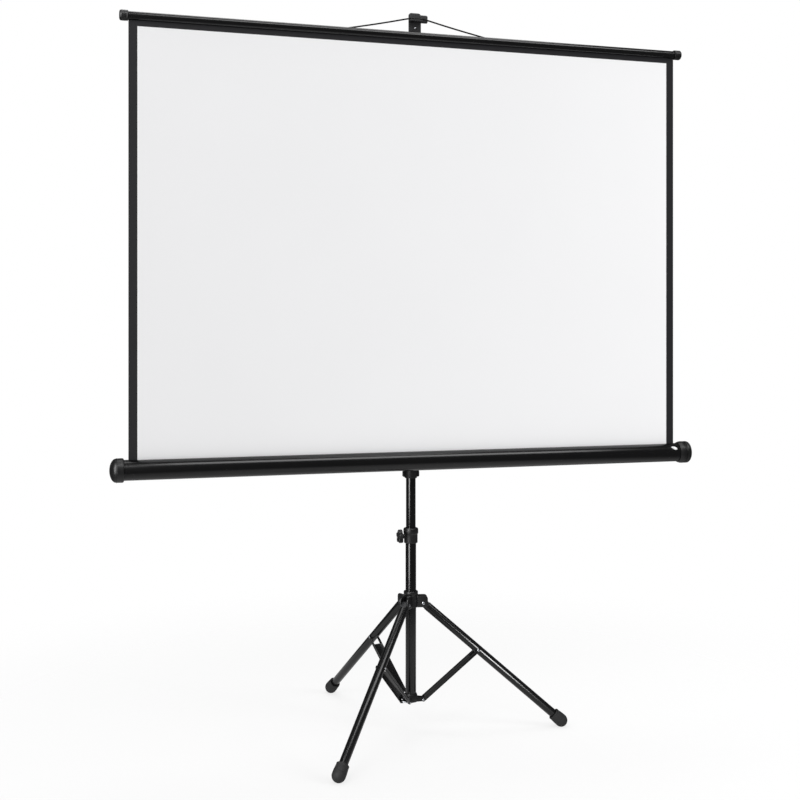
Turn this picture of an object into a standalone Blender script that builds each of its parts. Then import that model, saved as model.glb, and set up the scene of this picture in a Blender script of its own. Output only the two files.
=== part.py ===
"""Portable tripod projector screen, 84 inch 4:3, standing with its legs spread and the screen pulled up.

Metres, +Z up. The empty "mast_axis" stands on the floor at the mast's axis; every piece hangs from it.
Legs fold by sliding the hub up the mast, the upper mast carries the case on a pivot bolt, and the
extension rod carries the top bar by its wire bail.
"""
import math

import bmesh
import bpy
from mathutils import Matrix, Vector

for leftover in list(bpy.data.objects):
    bpy.data.objects.remove(leftover)

# Fits and general values
CLEAR = 0.0003
LEG_AZIMUTHS = (-11.8, 108.2, 228.2)

# Lower mast and its foot plug
MAST_R = 0.0167
MAST_WALL = 0.0010
MAST_FOOT_Z = 0.0980
MAST_TOP_Z = 0.6345
PLUG_FLANGE_T = 0.0045
PLUG_DEPTH = 0.0180

# Tripod linkage: a spider pin, a hub pin and a leg pin for each leg
PIN_RADIUS_POS = 0.0390
SPIDER_PIN_Z = 0.1000
HUB_PIN_Z = 0.4044
BOOT_POS_R = 0.4820

# Hub
HUB_RING_R = 0.0226
HUB_BORE_CLEAR = 0.0005
HUB_BOTTOM_DROP = 0.0129
HUB_TOP_RISE = 0.0256
HUB_COLLAR_H = 0.0123
HUB_CHEEK_T = 0.0050
HUB_EYE_R = 0.0118
HUB_LUG_END = 0.0140
HUB_LUG_TOP = 0.0235
HUB_LUG_CORNER = 0.0100
HUB_PIN_R = 0.0030
HUB_PIN_HEAD_R = 0.0046

# Legs and boots
LEG_R = 0.0135
LEG_WALL = 0.0012
LEG_TUBE_START = 0.0165
LEG_EYE_HALF_W = 0.0092
LEG_EYE_R = 0.0102
LEG_SHOULDER = 0.0115
SPIGOT_LEN = 0.0200
BOOT_R = 0.0205
BOOT_LEN = 0.0540
BOOT_FLAT = 0.0010
BOOT_LIP = 0.0030
BOOT_SOCKET_SHORT = 0.0100
LUG_R = 0.0046
LUG_PROUD = 0.0006

# Braces, their pins and the spider
BRACE_H = 0.0110
BRACE_WALL = 0.0013
BRACE_WEB_CUT_TOP = 0.0330
BRACE_WEB_CUT_FOOT = 0.0100
SMALL_PIN_R = 0.0022
SMALL_EYE_R = 0.0042
PIN_HEAD_R = 0.0040
PIN_HEAD_T = 0.0014
SPIDER_R = 0.0225
SPIDER_DROP = 0.0060
SPIDER_H = 0.0250
SPIDER_TAPER = 0.0040
SPIDER_LUG_T = 0.0050
SPIDER_LUG_ROOT = 0.0120
SPIDER_LUG_RISE = 0.0030

# Height clamp, bush and knob
CLAMP_R = 0.0215
CLAMP_HEAD_R = 0.0236
CLAMP_HEAD_H = 0.0175
CLAMP_GRIP = 0.0410
CLAMP_OVER = 0.0065
CLAMP_BEVEL = 0.0024
BUSH_T = 0.0036
BUSH_H = 0.0072
BUSH_BEVEL = 0.0012
BOSS_R = 0.0072
BOSS_OUT = 0.0262
KNOB_R = 0.0220
KNOB_T = 0.0160
KNOB_LOBES = 5
KNOB_WAVE = 0.0031
KNOB_NECK = 0.0060
KNOB_EDGE = 0.0026
KNOB_DISH_R = 0.0112
KNOB_DISH_D = 0.0025
STUD_R = 0.0030
KNOB_DROP = 0.0195

# Upper mast, rod collar and release button
UPPER_R = 0.0152
UPPER_WALL = 0.0011
UPPER_FOOT_Z = 0.3000
UPPER_TOP_Z = 1.1700
COLLAR_R = 0.0195
COLLAR_H = 0.0450
COLLAR_LIP = 0.0120
COLLAR_BEVEL = 0.0028
BUTTON_R = 0.0060
BUTTON_OUT = 0.0310
BUTTON_LEN = 0.0105
BUTTON_TRAVEL = 0.0036
BUTTON_BOSS_R = 0.0092
BUTTON_BOSS_OUT = 0.0265

# Extension rod, and the hanger on its end, whose heights are counted from the rod's end
ROD_R = 0.0105
ROD_WALL = 0.0010
ROD_FOOT_Z = 1.0900
ROD_TOP_Z = 2.2000
HANGER_FRONT_Y = -0.0530
HANGER_T = 0.0040
HANGER_LEFT = -0.0230
HANGER_RIGHT = 0.0170
HANGER_TOP = 0.0550
HANGER_LOW = -0.0320
HANGER_CORNER = 0.0090
HANGER_ARM_W = 0.0180
HANGER_ARM_X = -0.0030
HANGER_SLEEVE_R = 0.0140
HANGER_SLEEVE_LOW = -0.0350
HANGER_CAP_T = 0.0040
NOSE_RIGHT = 0.0390
NOSE_LOW = 0.0255
NOSE_HIGH = 0.0500
NOSE_CORNER = 0.0050
TRAY_T = 0.0045
TRAY_REACH = 0.0064
TRAY_LIP = 0.0004
HANGER_RIVET_X = -0.0015
HANGER_RIVET_Z = 0.0080
HANGER_RIVET_R = 0.0034
HANGER_RIVET_T = 0.0022

# Screen cloth
CLOTH_T = 0.0006
WHITE_W = 1.7070
SIDE_BORDER = 0.0254
BORDER_TOP = 0.0290
CLOTH_FOOT = 0.0040

# Case, its caps, the roller in it and the clip for the bar
CASE_Y = -0.0880
CASE_Z = 0.8625
CASE_R = 0.0300
CASE_WALL = 0.0012
CASE_OVERHANG = 0.0536
CASE_SLOT_W = 0.0110
CASE_SLOT_SPARE = 0.0040
CASE_CAP_R = 0.0355
CASE_CAP_LEN = 0.0405
CAP_GRIP = 0.0200
CAP_LIP_T = 0.0018
CAP_FLARE = 0.0100
CAP_GROOVE_AT = 0.0205
CAP_GROOVE_W = 0.0040
CAP_GROOVE_D = 0.0030
CAP_DOME = 0.0085
CAP_DOME_R = 0.0100
CAP_FACE_D = 0.0010
CAP_DOT_R = 0.0030
ROLLER_R = 0.0130
ROLLER_WALL = 0.0010
ROLLER_PLUG = 0.0240
ROLLER_PIN_R = 0.0050
ROLLER_PIN_IN = 0.0180
ROLLER_SPARE = 0.0030
ROLLER_END_GAP = 0.0040
CLIP_FROM_END = 0.0735
CLIP_LEN = 0.0190
CLIP_W = 0.0120
CLIP_TIP_ANGLE = 141
CLIP_HEAD_ANGLE = 152
CLIP_T = 0.0020

# Case bracket on the upper mast, pivot bolt and the saddle on the case's back
SLEEVE_R = 0.0195
SLEEVE_DROP = 0.0635
SLEEVE_RISE = 0.0535
SLEEVE_BEVEL = 0.0012
SHOULDER_HALF_W = 0.0265
SHOULDER_DEPTH = 0.0120
SHOULDER_UP = 0.0035
SHOULDER_H = 0.0200
SHOULDER_CORNER = 0.0045
FACE_BACK_Y = -0.0460
FACE_T = 0.0036
FACE_HALF_W = 0.0275
FACE_HALF_H = 0.0260
FACE_CORNER = 0.0080
WEB_T = 0.0036
WEB_AT = 0.0150
WEB_ROOT = 0.0080
BOLT_R = 0.0040
BOLT_HEAD_R = 0.0080
BOLT_HEAD_T = 0.0034
BOLT_TAIL = 0.0050
NUT_R = 0.0070
NUT_T = 0.0040
SADDLE_T = 0.0024
SADDLE_HALF = 0.0450
SADDLE_FLAT = 0.0155
SADDLE_NEAR = 36
SADDLE_FAR = 62

# Top bar, hung below the rod's end, and its bail
BAR_BELOW = 0.0260
BAR_R = 0.0125
BAR_WALL = 0.0011
BAR_OVERHANG = 0.0256
BAR_CAP_R = 0.0155
BAR_CAP_LEN = 0.0245
BAR_CAP_FLOOR = 0.0040
BAR_CAP_EDGE = 0.0060
BAR_SLOT_W = 0.0030
BAR_GRIP = 0.0030
BAIL_X = 0.2280
BAIL_R = 0.0024
BAIL_AXIS_OUT = 0.0048
BAIL_TOP_UP = 0.0335
BAIL_TOP_Y = -0.0660
BAIL_SAG = 0.0012
EAR_LEN = 0.0120
EAR_R = 0.0046
EAR_LEAN = 65
EAR_SEAT = 40

# Heights and widths that follow from those above
HUB_BOTTOM_Z = HUB_PIN_Z - HUB_BOTTOM_DROP
HUB_TOP_Z = HUB_PIN_Z + HUB_TOP_RISE
SPIDER_BOTTOM_Z = SPIDER_PIN_Z - SPIDER_DROP
CLAMP_TOP_Z = MAST_TOP_Z + CLAMP_OVER
CLAMP_BOTTOM_Z = MAST_TOP_Z - CLAMP_GRIP
KNOB_Z = MAST_TOP_Z - KNOB_DROP
BRACE_W = 2 * (LEG_R + LUG_PROUD + CLEAR + BRACE_WALL)
BAR_Z = ROD_TOP_Z - BAR_BELOW
WHITE_TOP_Z = BAR_Z - BORDER_TOP
BAIL_TOP_Z = ROD_TOP_Z + BAIL_TOP_UP
CLOTH_HALF = WHITE_W / 2 + SIDE_BORDER
CASE_HALF = CLOTH_HALF + CASE_OVERHANG
BAR_HALF = CLOTH_HALF + BAR_OVERHANG
SLEEVE_LOW = CASE_Z - SLEEVE_DROP
SLEEVE_HIGH = CASE_Z + SLEEVE_RISE
# The middle of the floor plan stands at the world's origin, so the mast stands off it
MAST_Y = -BOOT_POS_R * sum(math.sin(math.radians(a)) for a in LEG_AZIMUTHS[1:]) / 2


# Materials


def paint(name, rgb, roughness, metallic):
    made = bpy.data.materials.new(name)
    made.use_nodes = True
    surface = made.node_tree.nodes["Principled BSDF"]
    surface.inputs["Base Color"].default_value = (*rgb, 1.0)
    surface.inputs["Roughness"].default_value = roughness
    surface.inputs["Metallic"].default_value = metallic
    return made


BLACK_TUBE = paint("black enamelled steel tube", (0.012, 0.012, 0.013), 0.30, 0.0)
BLACK_PLASTIC = paint("black moulded nylon", (0.016, 0.016, 0.018), 0.48, 0.0)
BLACK_RUBBER = paint("black rubber", (0.020, 0.020, 0.021), 0.75, 0.0)
GREY_PLASTIC = paint("dark grey moulded nylon", (0.060, 0.060, 0.065), 0.50, 0.0)
ZINC = paint("zinc plated steel", (0.62, 0.63, 0.65), 0.30, 1.0)
WHITE_CLOTH = paint("matt white screen cloth", (0.86, 0.86, 0.86), 0.90, 0.0)
BLACK_CLOTH = paint("black screen border", (0.020, 0.020, 0.022), 0.90, 0.0)
WHITE_PLASTIC = paint("white moulded plastic", (0.80, 0.80, 0.80), 0.40, 0.0)

mast_axis = bpy.data.objects.new("mast_axis", None)
mast_axis.location = (0.0, MAST_Y, 0.0)
bpy.context.scene.collection.objects.link(mast_axis)


# Shape makers


def finish_mesh(name, bm, material, smooth=True):
    """A new object, on the mast's axis, from a bmesh whose faces are turned outwards."""
    bmesh.ops.recalc_face_normals(bm, faces=bm.faces)
    if bm.calc_volume(signed=True) < 0:
        bmesh.ops.reverse_faces(bm, faces=bm.faces)
    mesh = bpy.data.meshes.new(name)
    bm.to_mesh(mesh)
    bm.free()
    mesh.materials.append(material)
    if smooth:
        mesh.shade_smooth()
        mesh.set_sharp_from_angle(angle=math.radians(35))
    made = bpy.data.objects.new(name, mesh)
    bpy.context.scene.collection.objects.link(made)
    made.parent = mast_axis
    return made


def lathe(name, profile, material, segments=22):
    """Turns a closed outline of (radius, height) points about Z."""
    bm = bmesh.new()
    verts = [bm.verts.new((max(r, 0.0), 0.0, z)) for r, z in profile]
    edges = []
    for i, vert in enumerate(verts):
        after = verts[(i + 1) % len(verts)]
        on_axis = vert.co.x < 1e-9 and after.co.x < 1e-9
        if not on_axis:
            edges.append(bm.edges.new((vert, after)))
    bmesh.ops.spin(
        bm,
        geom=verts + edges,
        axis=(0, 0, 1),
        cent=(0, 0, 0),
        angle=math.tau,
        steps=segments,
        use_merge=True,
    )
    bmesh.ops.remove_doubles(bm, verts=bm.verts, dist=1e-6)
    return finish_mesh(name, bm, material)


def tube(name, radius, wall, low, high, material, segments=28):
    inner = radius - wall
    return lathe(name, [(inner, low), (radius, low), (radius, high), (inner, high)], material, segments)


def rod(name, radius, low, high, material, segments=20):
    return lathe(name, [(0, low), (radius, low), (radius, high), (0, high)], material, segments)


def plate(name, outline, low, high, material, smooth=True):
    """Extrudes an outline of (x, y) points from z = low to z = high."""
    bm = bmesh.new()
    face = bm.faces.new([bm.verts.new((x, y, low)) for x, y in outline])
    grown = bmesh.ops.extrude_face_region(bm, geom=[face])
    raised = [item for item in grown["geom"] if isinstance(item, bmesh.types.BMVert)]
    bmesh.ops.translate(bm, verts=raised, vec=(0, 0, high - low))
    return finish_mesh(name, bm, material, smooth)


def block(name, size, centre, material):
    half = [s / 2 for s in size]
    outline = [(-half[0], -half[1]), (half[0], -half[1]), (half[0], half[1]), (-half[0], half[1])]
    made = plate(name, outline, -half[2], half[2], material, False)
    made.data.transform(Matrix.Translation(centre))
    return made


def arc(centre, radius, start, end, steps):
    """Points on a circle from one angle to another, in degrees."""
    points = []
    for i in range(steps + 1):
        a = math.radians(start + (end - start) * i / steps)
        points.append((centre[0] + radius * math.cos(a), centre[1] + radius * math.sin(a)))
    return points


def reshape(obj, matrix):
    """Moves the object's points, leaving its origin where it is."""
    obj.data.transform(matrix)
    return obj


def frame(origin, x_axis, y_axis, z_axis):
    """The matrix whose columns are three axes and an origin."""
    rows = [[x_axis[i], y_axis[i], z_axis[i], origin[i]] for i in range(3)]
    return Matrix((*rows, (0, 0, 0, 1)))


TO_X = Matrix.Rotation(math.radians(90), 4, "Y")
TO_Y = Matrix.Rotation(math.radians(-90), 4, "X")


def combine(target, other, operation):
    """A Boolean that stays on the target; the other object becomes a hidden helper."""
    made = target.modifiers.new(other.name, "BOOLEAN")
    made.operation = operation
    made.solver = "EXACT"
    made.object = other
    other.hide_render = True
    other.display_type = "WIRE"
    other.parent = target
    other.matrix_parent_inverse = Matrix.Identity(4)


def cut(target, other):
    combine(target, other, "DIFFERENCE")


def join(target, other):
    combine(target, other, "UNION")


def soften(obj, width, segments=2, angle=40):
    made = obj.modifiers.new("edge rounding", "BEVEL")
    made.width = width
    made.segments = segments
    made.limit_method = "ANGLE"
    made.angle_limit = math.radians(angle)
    made.use_clamp_overlap = True
    return obj


def carry(name, origin, pieces):
    """An empty on a joint's axis, given about the mast's foot, that carries the pieces moving on it."""
    empty = bpy.data.objects.new(name, None)
    bpy.context.scene.collection.objects.link(empty)
    empty.parent = mast_axis
    empty.location = origin
    for piece in pieces:
        piece.parent = empty
        piece.location = piece.location - Vector(origin)
    return empty


# Linkage worked out from the pins: upper and lower links are alike, so the hub stays level as it slides
PIN_DROP = (HUB_PIN_Z - SPIDER_PIN_Z) / 2
boot_dr = BOOT_POS_R - PIN_RADIUS_POS
boot_dz = HUB_PIN_Z - (BOOT_R - BOOT_FLAT)
LEG_LEN = math.hypot(boot_dr, boot_dz)
LEG_TILT = math.atan2(boot_dr, boot_dz)
LINK_LEN = PIN_DROP / math.cos(LEG_TILT)
MID_R = PIN_RADIUS_POS + LINK_LEN * math.sin(LEG_TILT)
MID_Z = HUB_PIN_Z - PIN_DROP


def outward(azimuth):
    a = math.radians(azimuth)
    return Vector((math.cos(a), math.sin(a), 0.0))


def upright_frame(azimuth, radius=0.0, height=0.0):
    """Local X outwards, local Y round the mast and local Z up, at a leg's azimuth."""
    out = outward(azimuth)
    return frame(out * radius + Vector((0, 0, height)), out, Vector((0, 0, 1)).cross(out), Vector((0, 0, 1)))


def leg_frame(azimuth):
    """Local X down the leg from its hub pin, local Z square to it, up and outwards."""
    out = outward(azimuth)
    up = Vector((0, 0, 1))
    along = out * math.sin(LEG_TILT) - up * math.cos(LEG_TILT)
    square = out * math.cos(LEG_TILT) + up * math.sin(LEG_TILT)
    return frame(out * PIN_RADIUS_POS + up * HUB_PIN_Z, along, square.cross(along), square)


def brace_frame(azimuth):
    """Local X up the brace from its spider pin, local Z on its underside, outwards and down."""
    out = outward(azimuth)
    up = Vector((0, 0, 1))
    along = out * math.sin(LEG_TILT) + up * math.cos(LEG_TILT)
    under = out * math.cos(LEG_TILT) - up * math.sin(LEG_TILT)
    return frame(out * PIN_RADIUS_POS + up * SPIDER_PIN_Z, along, under.cross(along), under)


# An outline in (x, z) stood up: its thickness runs along Y, centred
STAND_UP = Matrix(((1, 0, 0, 0), (0, 0, -1, 0), (0, 1, 0, 0), (0, 0, 0, 1)))


def cheek(name, outline, half_width, material, smooth=True):
    """A plate whose outline lies in local X and Z, with its thickness along local Y."""
    return reshape(plate(name, outline, -half_width, half_width, material, smooth), STAND_UP)


def cross_pin(name, radius, half_width, x, z, material, segments=14):
    """A plain cylinder along local Y."""
    made = reshape(rod(name, radius, -half_width, half_width, material, segments), TO_Y)
    return reshape(made, Matrix.Translation((x, 0, z)))


def headed_pin(name, radius, grip_half, head_r, head_t, material):
    """A rivet along local Y: a shank through the grip and a domed head at each end."""
    inner = grip_half + CLEAR
    outer = inner + head_t
    dome = head_r * 0.55
    profile = [
        (0, -outer),
        (dome, -outer),
        (head_r, -inner - head_t * 0.35),
        (head_r, -inner),
        (radius, -inner),
        (radius, inner),
        (head_r, inner),
        (head_r, inner + head_t * 0.35),
        (dome, outer),
        (0, outer),
    ]
    return reshape(lathe(name, profile, material, 12), TO_Y)


# Lower mast: tube, foot plug and spider
mast_tube_lower = tube("mast_tube_lower", MAST_R, MAST_WALL, MAST_FOOT_Z, MAST_TOP_Z, BLACK_TUBE)
plug_r = MAST_R - MAST_WALL - CLEAR
mast_plug = lathe(
    "mast_plug",
    [
        (0, MAST_FOOT_Z - CLEAR - PLUG_FLANGE_T),
        (MAST_R * 0.80, MAST_FOOT_Z - CLEAR - PLUG_FLANGE_T),
        (MAST_R, MAST_FOOT_Z - CLEAR - PLUG_FLANGE_T * 0.6),
        (MAST_R, MAST_FOOT_Z - CLEAR),
        (plug_r, MAST_FOOT_Z - CLEAR),
        (plug_r, MAST_FOOT_Z + PLUG_DEPTH),
        (0, MAST_FOOT_Z + PLUG_DEPTH),
    ],
    BLACK_PLASTIC,
)

spider_bore = MAST_R + CLEAR
spider_top = SPIDER_BOTTOM_Z + SPIDER_H
brace_spider = lathe(
    "brace_spider",
    [
        (spider_bore, SPIDER_BOTTOM_Z),
        (SPIDER_R, SPIDER_BOTTOM_Z),
        (SPIDER_R, SPIDER_BOTTOM_Z + SPIDER_H * 0.52),
        (SPIDER_R - SPIDER_TAPER, spider_top),
        (spider_bore, spider_top),
    ],
    BLACK_PLASTIC,
)
lug_out = BRACE_W / 2 - BRACE_WALL - CLEAR
spider_pins = []
for index, azimuth in enumerate(LEG_AZIMUTHS, 1):
    placed = upright_frame(azimuth)
    for side in (-1, 1):
        outline = [(SPIDER_LUG_ROOT, SPIDER_BOTTOM_Z + CLEAR), (PIN_RADIUS_POS, SPIDER_PIN_Z - SMALL_EYE_R)]
        outline += arc((PIN_RADIUS_POS, SPIDER_PIN_Z), SMALL_EYE_R, -75, 90, 8)
        outline += [(SPIDER_LUG_ROOT, SPIDER_PIN_Z + SMALL_EYE_R + SPIDER_LUG_RISE)]
        lug = cheek(f"spider_lug_{index}_{side}", outline, SPIDER_LUG_T / 2, BLACK_PLASTIC)
        beside = Matrix.Translation((0, side * (lug_out - SPIDER_LUG_T / 2), 0))
        join(brace_spider, reshape(lug, placed @ beside))
bore = rod("spider_bore", spider_bore, SPIDER_BOTTOM_Z - SPIDER_H, spider_top + SPIDER_H, BLACK_PLASTIC, 22)
cut(brace_spider, bore)
for index, azimuth in enumerate(LEG_AZIMUTHS, 1):
    placed = upright_frame(azimuth)
    hole = cross_pin(
        f"spider_hole_{index}", SMALL_PIN_R + CLEAR, BRACE_W, PIN_RADIUS_POS, SPIDER_PIN_Z, BLACK_PLASTIC
    )
    cut(brace_spider, reshape(hole, placed))
    pin = headed_pin(f"spider_pin_{index}", SMALL_PIN_R, BRACE_W / 2, PIN_HEAD_R, PIN_HEAD_T, ZINC)
    reshape(pin, placed @ Matrix.Translation((PIN_RADIUS_POS, 0, SPIDER_PIN_Z)))
    spider_pins.append(pin)

# Hub: a ring that slides on the mast, with a pair of cheeks for each leg and a collar on top
hub_bore = MAST_R + HUB_BORE_CLEAR
cheek_half = LEG_EYE_HALF_W + CLEAR + HUB_CHEEK_T
leg_hub = lathe(
    "leg_hub",
    [
        (hub_bore, HUB_BOTTOM_Z),
        (HUB_RING_R, HUB_BOTTOM_Z),
        (HUB_RING_R, HUB_TOP_Z),
        (hub_bore, HUB_TOP_Z),
    ],
    BLACK_PLASTIC,
)
hub_root = hub_bore + 0.0020
lug_corner_at = (PIN_RADIUS_POS + HUB_LUG_END - HUB_LUG_CORNER, HUB_PIN_Z + HUB_LUG_TOP - HUB_LUG_CORNER)
for index, azimuth in enumerate(LEG_AZIMUTHS, 1):
    outline = [(hub_root, HUB_BOTTOM_Z + CLEAR), (PIN_RADIUS_POS - HUB_EYE_R, HUB_BOTTOM_Z + 2 * CLEAR)]
    outline += arc((PIN_RADIUS_POS, HUB_PIN_Z), HUB_EYE_R, -85, -15, 5)
    outline += arc(lug_corner_at, HUB_LUG_CORNER, 0, 80, 6)
    outline += [(hub_root, HUB_PIN_Z + HUB_LUG_TOP + CLEAR)]
    lug = reshape(cheek(f"hub_lug_{index}", outline, cheek_half, BLACK_PLASTIC), upright_frame(azimuth))
    join(leg_hub, lug)
hub_pins = []
for index, azimuth in enumerate(LEG_AZIMUTHS, 1):
    placed = upright_frame(azimuth)
    slot_in = PIN_RADIUS_POS - LEG_EYE_R - 0.0010
    slot = block(
        f"hub_slot_{index}",
        (0.040, 2 * (LEG_EYE_HALF_W + CLEAR), 0.060),
        (slot_in + 0.020, 0, HUB_PIN_Z),
        BLACK_PLASTIC,
    )
    cut(leg_hub, reshape(slot, placed))
    hole = cross_pin(f"hub_hole_{index}", HUB_PIN_R + CLEAR, 0.03, PIN_RADIUS_POS, HUB_PIN_Z, BLACK_PLASTIC)
    cut(leg_hub, reshape(hole, placed))
    pin = headed_pin(f"hub_pin_{index}", HUB_PIN_R, cheek_half, HUB_PIN_HEAD_R, PIN_HEAD_T, ZINC)
    reshape(pin, placed @ Matrix.Translation((PIN_RADIUS_POS, 0, HUB_PIN_Z)))
    hub_pins.append(pin)
hub_collar = lathe(
    "hub_collar",
    [
        (hub_bore, HUB_TOP_Z + CLEAR),
        (HUB_RING_R - 0.0012, HUB_TOP_Z + CLEAR),
        (HUB_RING_R, HUB_TOP_Z + CLEAR + 0.0015),
        (HUB_RING_R, HUB_TOP_Z + HUB_COLLAR_H - 0.0022),
        (HUB_RING_R - 0.0022, HUB_TOP_Z + HUB_COLLAR_H),
        (hub_bore, HUB_TOP_Z + HUB_COLLAR_H),
    ],
    BLACK_PLASTIC,
)
hub_origin = outward(LEG_AZIMUTHS[0]) * PIN_RADIUS_POS + Vector((0, 0, HUB_PIN_Z))
carry("hub_level_axis", hub_origin, [leg_hub, hub_collar, *hub_pins])

# Legs: eye fitting, tube, rubber boot, the lug the brace turns on and its rivet; braces straddle the legs
for index, azimuth in enumerate(LEG_AZIMUTHS, 1):
    placed = leg_frame(azimuth)
    spigot_r = LEG_R - LEG_WALL - CLEAR
    # Eye fitting: a flat eye round the pin, a shoulder and a spigot in the tube
    eye_end = LEG_TUBE_START - CLEAR
    outline = arc((0, 0), LEG_EYE_R, 90, 270, 10)
    outline += [(eye_end - SPIGOT_LEN * 0.3, -LEG_SHOULDER), (eye_end, -LEG_SHOULDER)]
    outline += [(eye_end, LEG_SHOULDER), (eye_end - SPIGOT_LEN * 0.3, LEG_SHOULDER)]
    leg_eye = cheek(f"leg_eye_{index}", outline, LEG_EYE_HALF_W, GREY_PLASTIC)
    spigot = reshape(
        rod(f"leg_spigot_{index}", spigot_r, eye_end - LEG_WALL, eye_end + SPIGOT_LEN, GREY_PLASTIC), TO_X
    )
    join(leg_eye, spigot)
    eye_hole = cross_pin(f"leg_eye_hole_{index}", HUB_PIN_R + CLEAR, 2 * LEG_R, 0, 0, GREY_PLASTIC)
    cut(leg_eye, eye_hole)
    # Tube and boot
    tube_end = LEG_LEN - BOOT_SOCKET_SHORT
    leg_tube = tube(f"leg_tube_{index}", LEG_R, LEG_WALL, LEG_TUBE_START, tube_end, BLACK_TUBE, 22)
    reshape(leg_tube, TO_X)
    boot_top = LEG_LEN + BOOT_R - BOOT_LEN
    socket = LEG_R + CLEAR
    boot_profile = [(socket, boot_top), (BOOT_R - BOOT_LIP, boot_top), (BOOT_R, boot_top + BOOT_LIP)]
    boot_profile += [(BOOT_R * math.cos(t), LEG_LEN + BOOT_R * math.sin(t)) for t in
                     [math.radians(18 * k) for k in range(6)]]
    boot_profile += [(0, tube_end + CLEAR), (socket, tube_end + CLEAR)]
    leg_boot = reshape(lathe(f"leg_boot_{index}", boot_profile, BLACK_RUBBER, 20), TO_X)
    # Lug: a sleeve through the tube whose ends stand proud for the brace's walls to turn on
    lug_half = LEG_R + LUG_PROUD
    lug_bore = SMALL_PIN_R + CLEAR
    at_lug = Matrix.Translation((LINK_LEN, 0, 0)) @ TO_Y
    leg_lug = tube(f"leg_lug_{index}", LUG_R, LUG_R - lug_bore, -lug_half, lug_half, BLACK_PLASTIC, 16)
    reshape(leg_lug, at_lug)
    tube_hole = cross_pin(f"leg_tube_hole_{index}", LUG_R + CLEAR, 2 * LEG_R, LINK_LEN, 0, BLACK_TUBE)
    cut(leg_tube, tube_hole)
    leg_rivet = headed_pin(f"leg_rivet_{index}", SMALL_PIN_R, BRACE_W / 2, PIN_HEAD_R, PIN_HEAD_T, ZINC)
    reshape(leg_rivet, Matrix.Translation((LINK_LEN, 0, 0)))
    leg_pieces = [leg_eye, leg_tube, leg_boot, leg_lug, leg_rivet]
    for piece in (*leg_pieces, spigot, eye_hole, tube_hole):
        reshape(piece, placed)
    # The boot stands on a small flat worn square to the floor
    below = block(f"boot_floor_{index}", (0.080, 0.080, 0.040), (0, 0, -0.020), BLACK_RUBBER)
    cut(leg_boot, reshape(below, upright_frame(azimuth, BOOT_POS_R)))
    hub_pin_at = outward(azimuth) * PIN_RADIUS_POS + Vector((0, 0, HUB_PIN_Z))
    leg_pin_at = outward(azimuth) * MID_R + Vector((0, 0, MID_Z))
    carry(f"leg_axis_{index}", leg_pin_at if index == 1 else hub_pin_at, leg_pieces)

    # Brace: two side walls with round ends, and a web towards the mast that stops short of both pins
    placed = brace_frame(azimuth)
    half_h = BRACE_H / 2
    inside_w = BRACE_W - 2 * BRACE_WALL
    side = arc((0, 0), half_h, 90, 270, 8) + arc((LINK_LEN, 0), half_h, -90, 90, 8)
    brace = cheek(f"brace_{index}", side, BRACE_W / 2, BLACK_TUBE)
    far = 2 * BRACE_H
    web_z = BRACE_WALL - half_h
    web_ends = (BRACE_WEB_CUT_FOOT, LINK_LEN - BRACE_WEB_CUT_TOP)
    hollow = [(-far, far), (-far, -far), (web_ends[0], -far), (web_ends[0], web_z), (web_ends[1], web_z)]
    hollow += [(web_ends[1], -far), (LINK_LEN + far, -far), (LINK_LEN + far, far)]
    cut(brace, reshape(cheek(f"brace_hollow_{index}", hollow, inside_w / 2, BLACK_TUBE, False), placed))
    for at, word in ((0, "foot"), (LINK_LEN, "top")):
        hole = cross_pin(f"brace_hole_{index}_{word}", SMALL_PIN_R + CLEAR, BRACE_W, at, 0, BLACK_TUBE)
        cut(brace, reshape(hole, placed))
    reshape(brace, placed)
    spider_pin_at = outward(azimuth) * PIN_RADIUS_POS + Vector((0, 0, SPIDER_PIN_Z))
    carry(f"brace_axis_{index}", spider_pin_at, [brace])

# Height clamp on the lower tube's end, the bush in its head, and the star knob on its side
clamp_bore = MAST_R + CLEAR
bush_in = UPPER_R + CLEAR
bush_out = bush_in + BUSH_T
seat_z = MAST_TOP_Z + CLEAR
height_clamp = lathe(
    "height_clamp",
    [
        (clamp_bore, CLAMP_BOTTOM_Z),
        (CLAMP_R - CLAMP_BEVEL, CLAMP_BOTTOM_Z),
        (CLAMP_R, CLAMP_BOTTOM_Z + CLAMP_BEVEL),
        (CLAMP_R, CLAMP_TOP_Z - CLAMP_HEAD_H - CLAMP_BEVEL),
        (CLAMP_HEAD_R, CLAMP_TOP_Z - CLAMP_HEAD_H + CLAMP_BEVEL / 2),
        (CLAMP_HEAD_R, CLAMP_TOP_Z - 2 * CLAMP_BEVEL),
        (CLAMP_HEAD_R - CLAMP_BEVEL * 0.4, CLAMP_TOP_Z - CLAMP_BEVEL * 0.8),
        (CLAMP_HEAD_R - CLAMP_BEVEL, CLAMP_TOP_Z),
        (bush_out + CLEAR, CLAMP_TOP_Z),
        (bush_out + CLEAR, seat_z),
        (clamp_bore, seat_z),
    ],
    BLACK_PLASTIC,
)
boss = reshape(rod("clamp_boss", BOSS_R, clamp_bore + BUSH_BEVEL, BOSS_OUT, BLACK_PLASTIC), TO_X)
turned = Matrix.Rotation(math.pi, 4, "Z")
join(height_clamp, reshape(boss, Matrix.Translation((0, 0, KNOB_Z)) @ turned))
boss_hole = reshape(rod("clamp_boss_hole", STUD_R + CLEAR, MAST_R / 2, 2 * BOSS_OUT, BLACK_PLASTIC), TO_X)
cut(height_clamp, reshape(boss_hole, Matrix.Translation((0, 0, KNOB_Z)) @ turned))
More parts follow.
